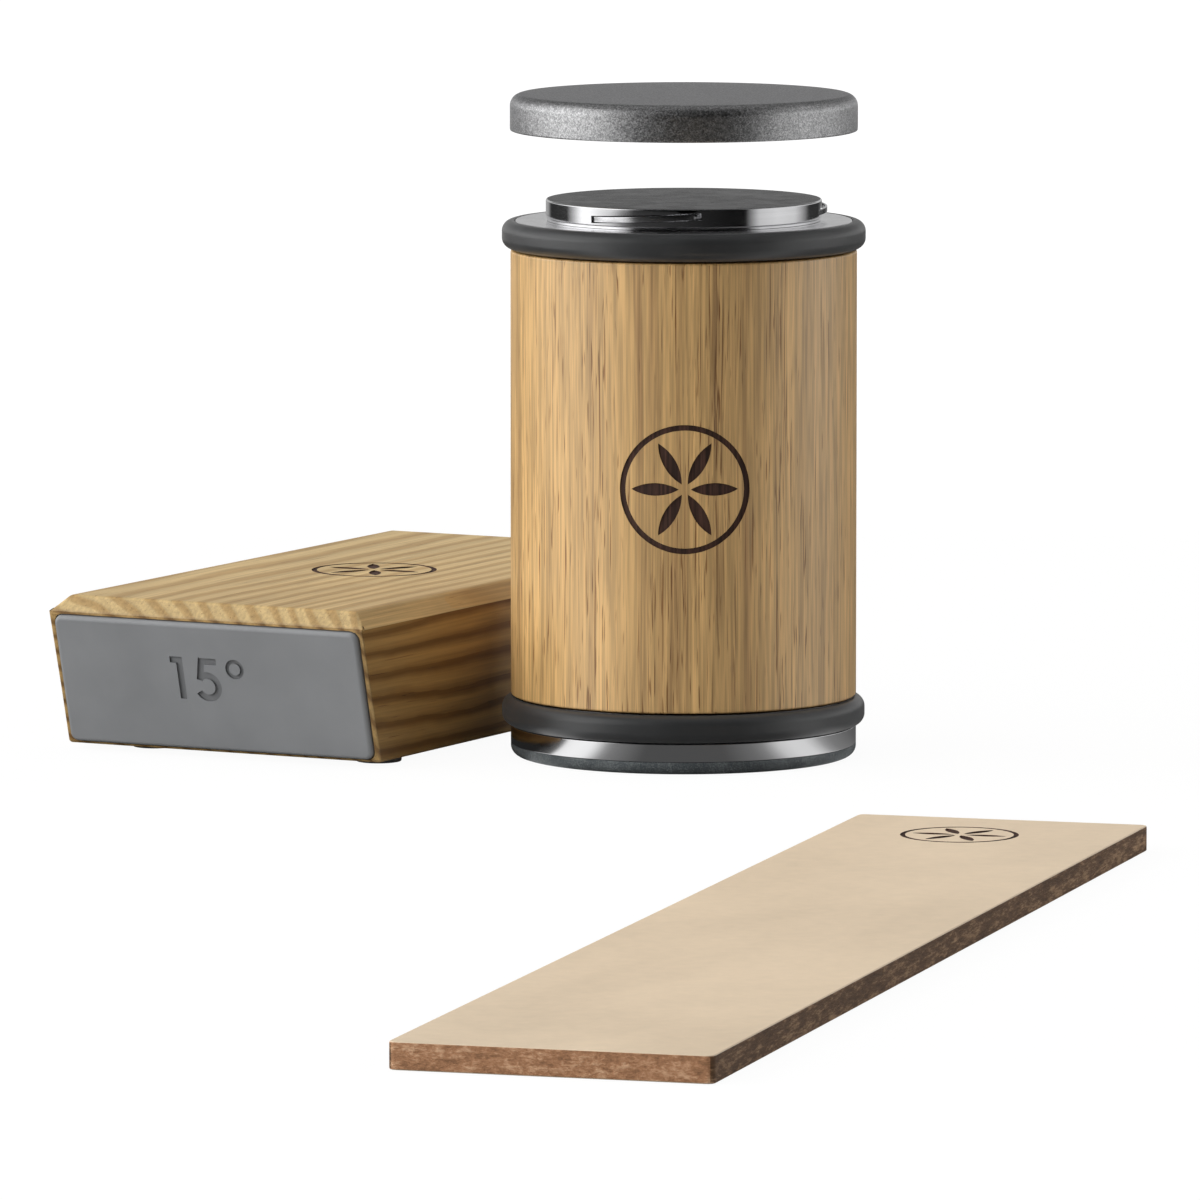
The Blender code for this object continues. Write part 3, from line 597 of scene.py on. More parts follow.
def make_leather_top(finishes):
    """The smooth side of natural leather: faint clouds, pores and a few creases along it."""
    material, tree, shader = new_material("leather_top")
    place = at_piece(tree, STROP_PLACE, STROP_TURN)
    cloud = noise(tree, place, (26, 14, 26), 4.0, 0.6, 0.4)
    mottle = noise(tree, place, 420.0, 3.0, 0.6)
    pores = add(tree, "ShaderNodeTexVoronoi", {"Vector": place, "Scale": 1500.0}, feature="F1")
    pores = pores.outputs["Distance"]
    creases = noise(tree, place, (900, 260, 900), 3.0, 0.6)
    colour = ramp(
        tree,
        weighted(tree, (cloud, 0.75), (mottle, 0.25)),
        (0.34, shade(finishes.leather, 0.90)),
        (0.52, finishes.leather),
        (0.70, shade(finishes.leather, 1.09)),
    )
    pits = ramp(tree, pores, (0.04, 0.0), (0.22, 1.0))
    colour = tinted(tree, colour, ramp(tree, pores, (0.03, 0.86), (0.14, 1.0)))
    relief = maths(tree, "ADD", maths(tree, "MULTIPLY", pits, 0.5), creases)
    put(tree, shader, Base_Color=colour, Roughness=0.62, Normal=bump(tree, relief, 0.00003, 0.6))
    return material


def make_leather_edge(name, dark, light, layers):
    """A cut edge of leather: fibres between a dark and a light tone, with fine layers along the strop."""
    material, tree, shader = new_material(name)
    place = at_piece(tree, STROP_PLACE, STROP_TURN)
    fibre = noise(tree, place, (1200, 420, 2600), 4.0, 0.7)
    clumps = noise(tree, place, (420, 190, 900), 3.0, 0.6)
    strata = noise(tree, place, (8, 8, layers), 2.0, 0.6)
    value = weighted(tree, (fibre, 0.45), (clumps, 0.35), (strata, 0.20))
    colour = ramp(tree, value, (0.38, shade(dark, 0.55)), (0.50, dark), (0.62, light))
    relief = maths(tree, "ADD", fibre, clumps)
    put(tree, shader, Base_Color=colour, Roughness=0.85, Normal=bump(tree, relief, 0.00025, 0.9))
    return material


def make_nickel():
    """Bright nickel plate with a fine grain."""
    material, tree, shader = new_material("nickel")
    place = at_object(tree)
    grain = noise(tree, place, 900.0, 3.0, 0.6)
    colour = ramp(tree, grain, (0.3, (0.54, 0.53, 0.49)), (0.7, (0.64, 0.63, 0.60)))
    rough = ramp(tree, grain, (0.3, 0.20), (0.7, 0.34))
    put(tree, shader, Base_Color=colour, Metallic=1.0, Roughness=rough, Normal=bump(tree, grain, 0.00001))
    return material


# Meshes


def outline(points, closed=False):
    """A new mesh that holds one line through points."""
    bm = bmesh.new()
    verts = [bm.verts.new(point) for point in points]
    for first, second in zip(verts, verts[1:] + verts[:1] if closed else verts[1:]):
        bm.edges.new((first, second))
    return bm


def lathe(points, sides, roundings=()):
    """Turns a profile of (radius, height) points about Z, and rounds the rings that roundings name. A profile
    that doesn't start and end on the axis is closed first."""
    on_axis = points[0][0] == 0 and points[-1][0] == 0
    bm = outline([(radius, 0, height) for radius, height in points], closed=not on_axis)
    spin(bm, sides)
    bmesh.ops.remove_doubles(bm, verts=bm.verts, dist=SAME_POINT)
    bmesh.ops.recalc_face_normals(bm, faces=bm.faces)
    for radius, height, size, segments in roundings:
        round_ring(bm, radius, height, size, segments)
    return bm


def spin(bm, steps, angle=math.tau):
    """Spins a whole mesh about Z, and joins the ends of a full turn."""
    bmesh.ops.spin(
        bm,
        geom=list(bm.verts) + list(bm.edges),
        cent=(0, 0, 0),
        axis=(0, 0, 1),
        angle=angle,
        steps=steps,
        use_merge=math.isclose(angle, math.tau),
    )


def towards(side, points):
    """A profile at one end of the roller, with heights that were counted from its middle."""
    return [(radius, MIDDLE + side * height) for radius, height in points]


def round_ring(bm, radius, height, size, segments):
    """Rounds the edges of a turned mesh that run round the axis at one radius and height."""
    edges = [
        edge
        for edge in bm.edges
        if all(
            abs(math.hypot(vert.co.x, vert.co.y) - radius) < NEAR and abs(vert.co.z - height) < NEAR
            for vert in edge.verts
        )
    ]
    bevel(bm, edges, size, segments)


def box(size, place):
    """A cuboid centred on a place."""
    bm = bmesh.new()
    bmesh.ops.create_cube(bm, size=1.0)
    bmesh.ops.scale(bm, vec=size, verts=bm.verts)
    bmesh.ops.translate(bm, vec=place, verts=bm.verts)
    return bm


def bevel(bm, edges, size, segments):
    bmesh.ops.bevel(bm, geom=edges, offset=size, segments=segments, profile=0.5, affect="EDGES", material=-1)


def rounded_slab(size, base, corner, corner_steps, fillet=0.0, fillet_steps=0, underside=False):
    """A flat block with rounded corners, whose lowest face is at base. A fillet rounds its upper rims, and
    its lower ones too where underside is set."""
    bm = box(size, (0, 0, base + size[2] / 2))
    upright = [edge for edge in bm.edges if abs(edge.verts[0].co.z - edge.verts[1].co.z) > size[2] / 2]
    bevel(bm, upright, corner, corner_steps)
    if fillet:
        top = base + size[2]
        rims = [edge for edge in bm.edges if min(vert.co.z for vert in edge.verts) > top - NEAR]
        if underside:
            rims += [edge for edge in bm.edges if max(vert.co.z for vert in edge.verts) < base + NEAR]
        bevel(bm, rims, fillet, fillet_steps)
    return bm


def move(bm, matrix):
    bmesh.ops.transform(bm, matrix=matrix, verts=bm.verts)


def thicken(bm, depth):
    """Extrudes a flat mesh up to a solid."""
    raised = bmesh.ops.extrude_face_region(bm, geom=list(bm.faces))["geom"]
    bmesh.ops.translate(bm, vec=(0, 0, depth), verts=only_verts(raised))
    bmesh.ops.recalc_face_normals(bm, faces=bm.faces)


def loose(name, bm, materials):
    """An object of its own, not yet a piece of the set."""
    mesh = bpy.data.meshes.new(name)
    bm.to_mesh(mesh)
    bm.free()
    for material in materials:
        mesh.materials.append(material)
    obj = bpy.data.objects.new(name, mesh)
    bpy.context.scene.collection.objects.link(obj)
    return obj


def carve(obj, cutter):
    """Cuts obj with another object, which is used up."""
    modifier = obj.modifiers.new("carve", "BOOLEAN")
    modifier.object = cutter
    modifier.operation = "DIFFERENCE"
    modifier.solver = "MANIFOLD"
    bpy.context.view_layer.update()
    evaluated = obj.evaluated_get(bpy.context.evaluated_depsgraph_get())
    mesh = bpy.data.meshes.new_from_object(evaluated)
    obj.modifiers.clear()
    old = obj.data
    obj.data = mesh
    bpy.data.meshes.remove(old)
    cut_mesh = cutter.data
    bpy.data.objects.remove(cutter)
    bpy.data.meshes.remove(cut_mesh)


def finished(obj, body, nodes, turn=None):
    """Puts a piece in place, smooths only its roundings, ties it to its body and hides the CAD nodes it
    replaces.
    """
    if turn is not None:
        obj.data.transform(turn)
    obj.data.shade_smooth()
    obj.data.set_sharp_from_angle(angle=SHARP_ANGLE)
    flat = obj.modifiers.new("flat_faces", "WEIGHTED_NORMAL")
    flat.keep_sharp = True
    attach(obj, body)
    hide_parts(*nodes)


def paint(bm, index):
    for face in bm.faces:
        face.material_index = index


def rosette(sizes, depth, share=1.0):
    """A cutter for a rosette of petals in a ring, a common ornament: prisms along Z about its middle."""
    outer = sizes.rosette_radius * share
    inner = outer - sizes.ring_width * share
    bm = outline([(inner, 0, 0), (outer, 0, 0)])
    spin(bm, ROUND_STEPS)
    petal = petal_mesh(inner * PETAL_FOOT_SHARE, inner * PETAL_TIP_SHARE)
    for _ in range(PETALS):
        petal.transform(Matrix.Rotation(math.tau / PETALS, 4, "Z"))
        bm.from_mesh(petal)
    bpy.data.meshes.remove(petal)
    thicken(bm, depth)
    bmesh.ops.translate(bm, vec=(0, 0, -depth / 2), verts=bm.verts)
    paint(bm, 1)
    return bm


def petal_mesh(foot, tip):
    """A flat petal along X between two arcs, each a sixth of a circle."""
    radius = tip - foot
    half = math.radians(30)
    bm = bmesh.new()
    start = bm.verts.new((foot, 0, 0))
    centre = ((foot + tip) / 2, -radius * math.cos(half), 0)
    bmesh.ops.spin(bm, geom=[start], cent=centre, axis=(0, 0, 1), angle=-2 * half, steps=14)
    edge = list(bm.verts) + list(bm.edges)
    bmesh.ops.mirror(bm, geom=edge, matrix=Matrix.Identity(4), merge_dist=NEAR, axis="Y")
    bmesh.ops.contextual_create(bm, geom=list(bm.edges))
    mesh = bpy.data.meshes.new("petal")
    bm.to_mesh(mesh)
    bm.free()
    return mesh


def only_verts(items):
    return [item for item in items if isinstance(item, bmesh.types.BMVert)]


def straight_stroke(start, end, width, depth):
    """A prism along a flat line, which reaches depth above and below the line's plane."""
    run = Vector(end) - Vector(start)
    bm = box((width, run.length, 2 * depth), (0, run.length / 2, 0))
    place = Matrix.Translation((*start, 0)) @ Matrix.Rotation(math.atan2(-run.x, run.y), 4, "Z")
    move(bm, place)
    return bm


def curved_stroke(centre, radius, first, last, width, depth):
    """A prism along a flat arc between two angles in degrees."""
    bm = outline([(radius - width / 2, 0, -depth), (radius + width / 2, 0, -depth)])
    move(bm, Matrix.Rotation(math.radians(first), 4, "Z"))
    spin(bm, ARC_STEPS, math.radians(last - first))
    thicken(bm, 2 * depth)
    bmesh.ops.translate(bm, vec=(*centre, 0), verts=bm.verts)
    return bm


def arc_points(centre, radius, first, last, steps):
    angles = [math.radians(first + (last - first) * i / steps) for i in range(steps + 1)]
    return [(centre[0] + radius * math.cos(a), centre[1] + radius * math.sin(a)) for a in angles]


def number_strokes(label, width, bar, depth):
    """The strokes of 15 or 20 with a degree sign, on a base line through the origin; bar is a flat stroke's
    width. Capitals are 7.8 mm high."""
    top = CAPITAL - bar / 2
    if label == "15":
        return [
            straight_stroke((0, 0), (0, CAPITAL), width, depth),
            straight_stroke((-0.00184, top), (0, top), bar, depth),
            straight_stroke((0.00400, top), (0.00734, top), bar, depth),
            straight_stroke((0.00449, CAPITAL), (0.00369, 0.00365), width, depth),
            curved_stroke((0.0051, 0.00252), 0.00208, -150, 128, width, depth),
            curved_stroke((0.01087, 0.00605), 0.00144, 0, 360, DEGREE_STROKE, depth),
        ]
    return [
        curved_stroke((0.0023, 0.0055), 0.00166, -38, 165, width, depth),
        straight_stroke((0.00385, 0.00475), (0.00075, 0.0006), width, depth),
        straight_stroke((0.0001, bar / 2), (0.0047, bar / 2), bar, depth),
        curved_stroke((0.0088, 0.00516), 0.0020, 0, 180, width, depth),
        curved_stroke((0.0088, 0.00264), 0.0020, 180, 360, width, depth),
        straight_stroke((0.0068, 0.00264), (0.0068, 0.00516), width, depth),
        straight_stroke((0.0108, 0.00264), (0.0108, 0.00516), width, depth),
        curved_stroke((0.0144, 0.00605), 0.00144, 0, 360, DEGREE_STROKE, depth),
    ]


# Operators


class SHARPENER_OT_grip(bpy.types.Operator):
    """Turns the oak grip and burns the rosette into it"""

    bl_idname = "sharpener.grip"
    bl_label = "Oak grip"

    def execute(self, context):
        scene = context.scene
        roller, marks, finishes = scene.sharpener_roller, scene.sharpener_marks, scene.sharpener_finishes
        top, bottom, radius = GRIP_HIGH.z, GRIP_LOW.z, GRIP_HIGH.x
        edge = roller.grip_edge
        bm = lathe(
            [(GRIP_BORE, bottom), (radius, bottom), (radius, top), (GRIP_BORE, top)],
            roller.sides,
            [(radius, top, edge, 3), (radius, bottom, edge, 3)],
        )
        oak = make_grip_oak(finishes)
        burn = make_burn("grip_burn", finishes, (2400, 1500, 60))
        sleeve = loose("oak_grip", bm, (oak, burn))
        stamp = rosette(marks, STAMP_REACH)
        upright = Matrix.Translation((0, -radius, MIDDLE)) @ Matrix.Rotation(math.radians(90), 4, "X")
        move(stamp, upright)
        stamp_object = loose("stamp", stamp, (oak, burn))
        core_radius = radius - marks.rosette_depth
        core = lathe([(0, bottom), (core_radius, bottom), (core_radius, top), (0, top)], roller.sides)
        paint(core, 1)
        carve(stamp_object, loose("core", core, (oak, burn)))
        carve(sleeve, stamp_object)
        finished(sleeve, "grip", ["grip_sleeve"])
        return {"FINISHED"}


class SHARPENER_OT_wheels(bpy.types.Operator):
    """Turns the two steel end wheels and their rubber tyres"""

    bl_idname = "sharpener.wheels"
    bl_label = "Wheels and tyres"

    def execute(self, context):
        scene = context.scene
        sides, edge = scene.sharpener_roller.sides, scene.sharpener_roller.metal_edge
        steel = make_turned_steel("wheel_steel", shade(scene.sharpener_finishes.steel, 1.35), 0.19, 0.0000003)
        rubber = make_rubber(scene.sharpener_finishes)
        for end, side in ENDS.items():
            self.wheel(end, side, sides, edge, steel)
            self.tyre(end, side, sides, rubber)
        return {"FINISHED"}

    def wheel(self, end, side, sides, edge, steel):
        outer = WHEEL_HIGH.z - MIDDLE
        boss = WHEEL_LOW.z - MIDDLE
        inner = 2 * TYRE_LEVEL - outer
        groove = WHEEL_RADIUS - TYRE_TONGUE_DEPTH - FIT_GAP
        half = TYRE_TONGUE_HEIGHT / 2 + FIT_GAP
        points = [
            (STUD_HOLE, outer),
            (WHEEL_RADIUS, outer),
            (WHEEL_RADIUS, TYRE_LEVEL + half),
            (groove, TYRE_LEVEL + half),
            (groove, TYRE_LEVEL - half),
            (WHEEL_RADIUS, TYRE_LEVEL - half),
            (WHEEL_RADIUS, inner),
            (WHEEL_BOSS_RADIUS, inner),
            (WHEEL_BOSS_RADIUS, boss),
            (AXLE_HOLE, boss),
            (AXLE_HOLE, AXLE_END),
            (STUD_HOLE, AXLE_END),
        ]
        bm = lathe(towards(side, points), sides, [(WHEEL_RADIUS, MIDDLE + side * outer, edge, 3)])
        finished(loose(f"wheel_{end}_turned", bm, (steel,)), "running_gear", [f"wheel_{end}"])

    def tyre(self, end, side, sides, rubber):
        middle = MIDDLE + side * TYRE_LEVEL
        centre = TYRE_HIGH.x - TYRE_SECTION_RADIUS
        inner = WHEEL_RADIUS + FIT_GAP / 2
        reach = math.degrees(math.acos((inner - centre) / TYRE_SECTION_RADIUS))
        half = TYRE_TONGUE_HEIGHT / 2
        tongue = WHEEL_RADIUS - TYRE_TONGUE_DEPTH
        crown = arc_points((centre, TYRE_FLAT / 2), TYRE_SECTION_RADIUS, reach, 0, 12)
        crown += arc_points((centre, -TYRE_FLAT / 2), TYRE_SECTION_RADIUS, 0, -reach, 12)
        corners = [(inner, -half), (tongue, -half), (tongue, half), (inner, half)]
        points = [(radius, middle + height) for radius, height in crown + corners]
        ring = loose(f"tyre_{end}_ring", lathe(points, sides), (rubber,))
        finished(ring, "running_gear", [f"tyre_{end}"])


class SHARPENER_OT_pucks(bpy.types.Operator):
    """Turns the two steel seats for the discs, mills their slots and sets the leaf springs in them"""

    bl_idname = "sharpener.pucks"
    bl_label = "Seats and springs"

    def execute(self, context):
        scene = context.scene
        finishes = scene.sharpener_finishes
        polished = make_polished_steel(finishes)
        # The seats' faced tops are steel painted darker than steel is, with dim edges: a painted dark
        # reflection of the disc above
        faced = make_turned_steel("faced_steel_painted_dark", shade(finishes.steel, 0.45), 0.25, 0.000010, 0.00016, 0.40)
        leaf = make_turned_steel("leaf_steel", shade(finishes.steel, 1.35), 0.17, 0.0000004)
        for end, side in ENDS.items():
            self.puck(end, side, scene.sharpener_roller, polished, faced)
            for number, angle in enumerate(SLOT_ANGLES, 1):
                self.spring(end, side, number, angle, leaf)
        return {"FINISHED"}

    def puck(self, end, side, roller, polished, faced):
        radius = PUCK_HIGH.x
        outer = PUCK_HIGH.z - MIDDLE
        base = WHEEL_HIGH.z - MIDDLE + BOND_GAP
        foot = PUCK_LOW.z - MIDDLE
        points = [
            (0, outer),
            (radius, outer),
            (radius, base + PUCK_FOOT_HEIGHT),
            (radius - PUCK_FOOT_STEP, base + PUCK_FOOT_HEIGHT * PUCK_FOOT_SLOPE_SHARE),
            (radius - PUCK_FOOT_STEP, base),
            (STUD_RADIUS, base),
            (STUD_RADIUS, foot),
            (0, foot),
        ]
        top = MIDDLE + side * outer
        edge = roller.metal_edge * PUCK_EDGE_SHARE
        bm = lathe(towards(side, points), roller.sides, [(radius, top, edge, 4)])
        for face in bm.faces:
            if abs(face.normal.z) > 0.99 and abs(face.calc_center_median().z - top) < NEAR:
                face.material_index = 1
        piece = loose(f"puck_{end}_turned", bm, (polished, faced))
        slots = bmesh.new()
        depth = SLOT_DEPTH + OVERRUN
        place = Matrix.Translation((radius - SLOT_DEPTH + depth / 2, 0, 0))
        size = Matrix.Diagonal((depth, SLOT_WIDTH, SLOT_HEIGHT, 1))
        for angle in SLOT_ANGLES:
            bmesh.ops.create_cube(slots, size=1.0, matrix=self.slot_frame(side, angle) @ place @ size)
        carve(piece, loose("slots", slots, (polished, faced)))
        finished(piece, "running_gear", [f"puck_{end}"])

    def slot_frame(self, side, angle):
        """The frame of a slot, whose X runs out of the seat and whose Y runs along the slot."""
        level = MIDDLE + side * (PUCK_HIGH.z - MIDDLE - SLOT_DROP)
        turned = Matrix.Rotation(angle, 4, "Z") @ Matrix.Translation((0, 0, level))
        return turned @ Matrix.Rotation(SLOT_LEAN, 4, "X")

    def spring(self, end, side, number, angle, steel):
        radius = PUCK_HIGH.x
        floor = radius - SLOT_DEPTH + CLIP_FLOOR_GAP + CLIP_THICKNESS / 2
        near = (math.sqrt(radius**2 - SLOT_WIDTH**2 / 4) - CLIP_THICKNESS, CLIP_NEAR_GAP - SLOT_WIDTH / 2)
        far = (floor + CLIP_BEND_REACH, SLOT_WIDTH / 2 - CLIP_END_GAP - CLIP_BEND_RADIUS)
        rise = radius + CLIP_CREST - CLIP_THICKNESS / 2 - (near[0] + far[0]) / 2
        line = []
        for i in range(CLIP_STEPS + 1):
            share = i / CLIP_STEPS
            bow = 4 * rise * share * (1 - share)
            line.append((near[0] + (far[0] - near[0]) * share + bow, near[1] + (far[1] - near[1]) * share))
        slope = math.atan2(far[0] - near[0] - 4 * rise, far[1] - near[1])
        centre = (
            far[0] - CLIP_BEND_RADIUS * math.cos(slope),
            far[1] + CLIP_BEND_RADIUS * math.sin(slope),
        )
        line = line[:-1] + arc_points(centre, CLIP_BEND_RADIUS, -math.degrees(slope), 100, 8)
        bm = outline([(out, across, -CLIP_HEIGHT / 2) for out, across in line])
        raised = bmesh.ops.extrude_edge_only(bm, edges=bm.edges)["geom"]
        bmesh.ops.translate(bm, vec=(0, 0, CLIP_HEIGHT), verts=only_verts(raised))
        bmesh.ops.recalc_face_normals(bm, faces=bm.faces)
        move(bm, self.slot_frame(side, angle))
        leaf = loose(f"spring_{end}_{number}", bm, (steel,))
        wall = leaf.modifiers.new("wall", "SOLIDIFY")
        wall.thickness = CLIP_THICKNESS
        wall.offset = 0.0
        soft = leaf.modifiers.new("edges", "BEVEL")
        soft.width = CLIP_EDGE
        soft.segments = 2
        finished(leaf, "running_gear", [f"clip_{end}_{number}"])


class SHARPENER_OT_discs(bpy.types.Operator):
    """Turns the lifted grinding disc and the honing disc under the roller"""

    bl_idname = "sharpener.discs"
    bl_label = "Discs"

    def execute(self, context):
        scene = context.scene
        self.grinding(scene.sharpener_roller)
        self.honing(scene.sharpener_roller)
        return {"FINISHED"}

    def recess(self, mouth, side):
        heights = (0, GROOVE_LOW, GROOVE_LOW, GROOVE_HIGH, GROOVE_HIGH)
        radii = (RECESS_RADIUS, RECESS_RADIUS, GROOVE_RADIUS, GROOVE_RADIUS, RECESS_RADIUS)
        return [(radius, mouth + side * height) for radius, height in zip(radii, heights)]

    def grinding(self, roller):
        radius, top, mouth = DISC_HIGH.x, DISC_HIGH.z, DISC_LOW.z
        points = (
            [(0, top), (radius, top), (radius, mouth)]
            + self.recess(mouth, 1)
            + [(RECESS_RADIUS, mouth + RECESS_DEPTH), (0, mouth + RECESS_DEPTH)]
        )
        roundings = [(radius, top, roller.disc_edge, 8), (radius, mouth, DISC_MOUTH_EDGE, 2)]
        bm = lathe(points, roller.sides, roundings)
        disc = loose("grinding_disc_coated", bm, (make_grit(),))
        finished(disc, "grinding_disc", ["grinding_disc"])

    def honing(self, roller):
        radius = CARRIER_HIGH.x
        mouth, seam = CARRIER_HIGH.z, CARRIER_LOW.z
        points = self.recess(mouth, -1) + [(RECESS_RADIUS, seam), (radius, seam), (radius, mouth)]
        edge = roller.metal_edge
        bm = lathe(points, roller.sides, [(radius, mouth, edge, 3), (radius, seam, edge / 2, 2)])
        ring = loose("honing_ring", bm, (bpy.data.materials["polished_steel"],))
        finished(ring, "honing_disc", ["honing_carrier"])
        rim = PLATE_HIGH.z
        floor = mouth - RECESS_DEPTH
        inside = [(0, floor), (RECESS_RADIUS, floor), (RECESS_RADIUS, rim)]
        outside = [(radius, rim), (radius, 0), (0, 0)]
        roundings = [(radius, 0, roller.plate_edge, 7), (radius, rim, PLATE_RIM_EDGE, 2)]
        bm = lathe(inside + outside, roller.sides, roundings)
        plate = loose("honing_stone_plate", bm, (make_honing_stone(),))
        finished(plate, "honing_disc", ["honing_plate"])


class SHARPENER_OT_block(bpy.types.Operator):
    """Builds the oak angle block with its two pads, their sunk numbers, its burnt rosette and its feet"""

    bl_idname = "sharpener.block"
    bl_label = "Angle block"

    def execute(self, context):
        scene = context.scene
        marks, finishes = scene.sharpener_marks, scene.sharpener_finishes
        oak = make_block_oak(finishes)
        burn = make_burn("block_burn", finishes, (700, 700, 700))
        body = loose("oak_block", self.body_mesh(), (oak, burn))
        silicone = make_silicone("silicone", finishes, 1.0)
        # The numbers' sunk floors are darker silicone: painted shade in the recesses
        sunk = make_silicone("silicone_sunk_painted_shade", finishes, 0.72)
        for label, (toward, angle) in BLOCK_ENDS.items():
            self.end(label, toward, angle, body, marks, silicone, sunk, (oak, burn))
        stamp = rosette(marks, 2 * marks.rosette_depth)
        bmesh.ops.translate(stamp, vec=(0, 0, FOOT_HEIGHT + BLOCK_HEIGHT), verts=stamp.verts)
        carve(body, loose("stamp", stamp, (oak, burn)))
        finished(body, "angle_block", ["block_body"], BLOCK_FRAME)
        rubber = bpy.data.materials["rubber"]
        for number in range(1, 5):
            self.foot(number, rubber)
        return {"FINISHED"}

    def outwards(self, toward, angle):
        return Vector((0, toward * math.cos(angle), -math.sin(angle)))

    def body_mesh(self):
        bm = box((BLOCK_WIDTH, BLOCK_LENGTH, BLOCK_HEIGHT), (0, 0, FOOT_HEIGHT + BLOCK_HEIGHT / 2))
        for toward, angle in BLOCK_ENDS.values():
            edge = (0, toward * BLOCK_LENGTH / 2, BLOCK_BROW)
            self.trim(bm, edge, self.outwards(toward, angle))
            self.trim(bm, edge, (0, toward, 1))
            self.trim(bm, (toward * BLOCK_WIDTH / 2, 0, BLOCK_BROW), (toward, 0, 1))
        bevel(bm, list(bm.edges), BLOCK_FILLET, 4)
        return bm

    def trim(self, bm, point, normal):
        everything = list(bm.verts) + list(bm.edges) + list(bm.faces)
        bmesh.ops.bisect_plane(bm, geom=everything, plane_co=point, plane_no=normal, clear_outer=True)
        bmesh.ops.holes_fill(bm, edges=[edge for edge in bm.edges if edge.is_boundary])

    def end(self, label, toward, angle, body, marks, silicone, sunk, woods):
        middle = (FOOT_HEIGHT + BLOCK_BROW) / 2
        out = self.outwards(toward, angle)
        up = Vector((0, toward * math.sin(angle), math.cos(angle)))
        place = Vector((0, toward * (BLOCK_LENGTH / 2 - (BLOCK_BROW - middle) * math.tan(angle)), middle))
        face = Matrix.Translation(place) @ Matrix((up.cross(out), up, out)).transposed().to_4x4()
        slope = (BLOCK_HEIGHT - BLOCK_CHAMFER) / math.cos(angle)
        width, height = BLOCK_WIDTH - 2 * PAD_SIDE_BORDER, slope - 2 * PAD_END_BORDER
        floor = -PAD_SINK - KEEPER_THICKNESS - 2 * FIT_GAP
        self.pocket(body, face, width, height, -PAD_SINK, 5, woods)
        self.pocket(body, face, KEEPER_LENGTH, KEEPER_WIDTH, floor, 3, woods)
        self.magnet_holes(body, face, floor, woods)
        pad = self.pad(label, (width, height, PAD_THICKNESS), marks, (silicone, sunk))
        finished(pad, "angle_block", [f"pad_{label}"], BLOCK_FRAME @ face)

    def pocket(self, body, face, width, height, floor, steps, woods):
        room = (width + 2 * FIT_GAP, height + 2 * FIT_GAP, OVERRUN - floor)
        cutter = rounded_slab(room, floor, PAD_CORNER + FIT_GAP, steps)
        move(cutter, face)
        carve(body, loose("pocket", cutter, woods))

    def magnet_holes(self, body, face, floor, woods):
        radius = MAGNET_RADIUS + FIT_GAP
        low = floor - MAGNET_LENGTH - FIT_GAP
        for across in (-MAGNET_SPACING, 0, MAGNET_SPACING):
            hole = lathe([(0, low), (radius, low), (radius, OVERRUN), (0, OVERRUN)], HOLE_SIDES)
            move(hole, face @ Matrix.Translation((across, 0, 0)))
            carve(body, loose("hole", hole, woods))

    def pad(self, label, size, marks, tones):
        bm = rounded_slab(size, BOND_GAP - PAD_SINK, PAD_CORNER, 6, PAD_FILLET, 5)
        pad = loose(f"pad_{label}_moulded", bm, tones)
        lift = PAD_THICKNESS - PAD_SINK + BOND_GAP
        base = Matrix.Translation((NUMBER_LEFT, NUMBER_TOP - CAPITAL, lift))
        for digit in number_strokes(label, marks.stroke, marks.bar, marks.number_depth):
            move(digit, base)
            # The strokes' floors take the darker silicone, painted shade
            paint(digit, 1)
            carve(pad, loose("stroke", digit, tones))
        return pad

    def foot(self, number, rubber):
        low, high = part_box(f"foot_{number}")
        radius = (high.x - low.x) / 2
        place = Vector(((low.x + high.x) / 2, (low.y + high.y) / 2, 0))
        points = [(0, 0), (radius, 0), (radius, high.z), (0, high.z)]
        bm = lathe(points, FOOT_SIDES, [(radius, 0, FOOT_FILLET, 4)])
        piece = loose(f"foot_{number}_moulded", bm, (rubber,))
        finished(piece, "angle_block", [f"foot_{number}"], Matrix.Translation(place))


class SHARPENER_OT_strop(bpy.types.Operator):
    """Cuts the leather strop and burns the rosette near its far end"""

    bl_idname = "sharpener.strop"
    bl_label = "Strop"

    def execute(self, context):
        scene = context.scene
        marks, finishes = scene.sharpener_marks, scene.sharpener_finishes
        top = make_leather_top(finishes)
        burn = make_burn("leather_burn", finishes, (900, 900, 900))
        long_edge = make_leather_edge("leather_long_edge", (0.145, 0.075, 0.034), (0.38, 0.23, 0.12), 420)
        short_edge = make_leather_edge("leather_short_edge", (0.42, 0.21, 0.105), (0.66, 0.41, 0.25), 700)
        bm = rounded_slab(STROP_SIZE, 0, STROP_CORNER, 3, STROP_FILLET, 3, underside=True)
        for face in bm.faces:
            if abs(face.normal.z) < 0.5:
                face.material_index = 2 if abs(face.normal.x) > 0.7 else 3
        strop = loose("leather_strop", bm, (top, burn, long_edge, short_edge))
        stamp = rosette(marks, 2 * marks.rosette_depth, STROP_MARK_SHARE)
        far = STROP_SIZE.y / 2 - STROP_MARK_FROM_END
        bmesh.ops.translate(stamp, vec=(STROP_MARK_ASIDE, far, STROP_HIGH.z), verts=stamp.verts)
        carve(strop, loose("stamp", stamp, (top, burn, long_edge, short_edge)))
        finished(strop, "strop", ["strop"], STROP_FRAME)
        return {"FINISHED"}


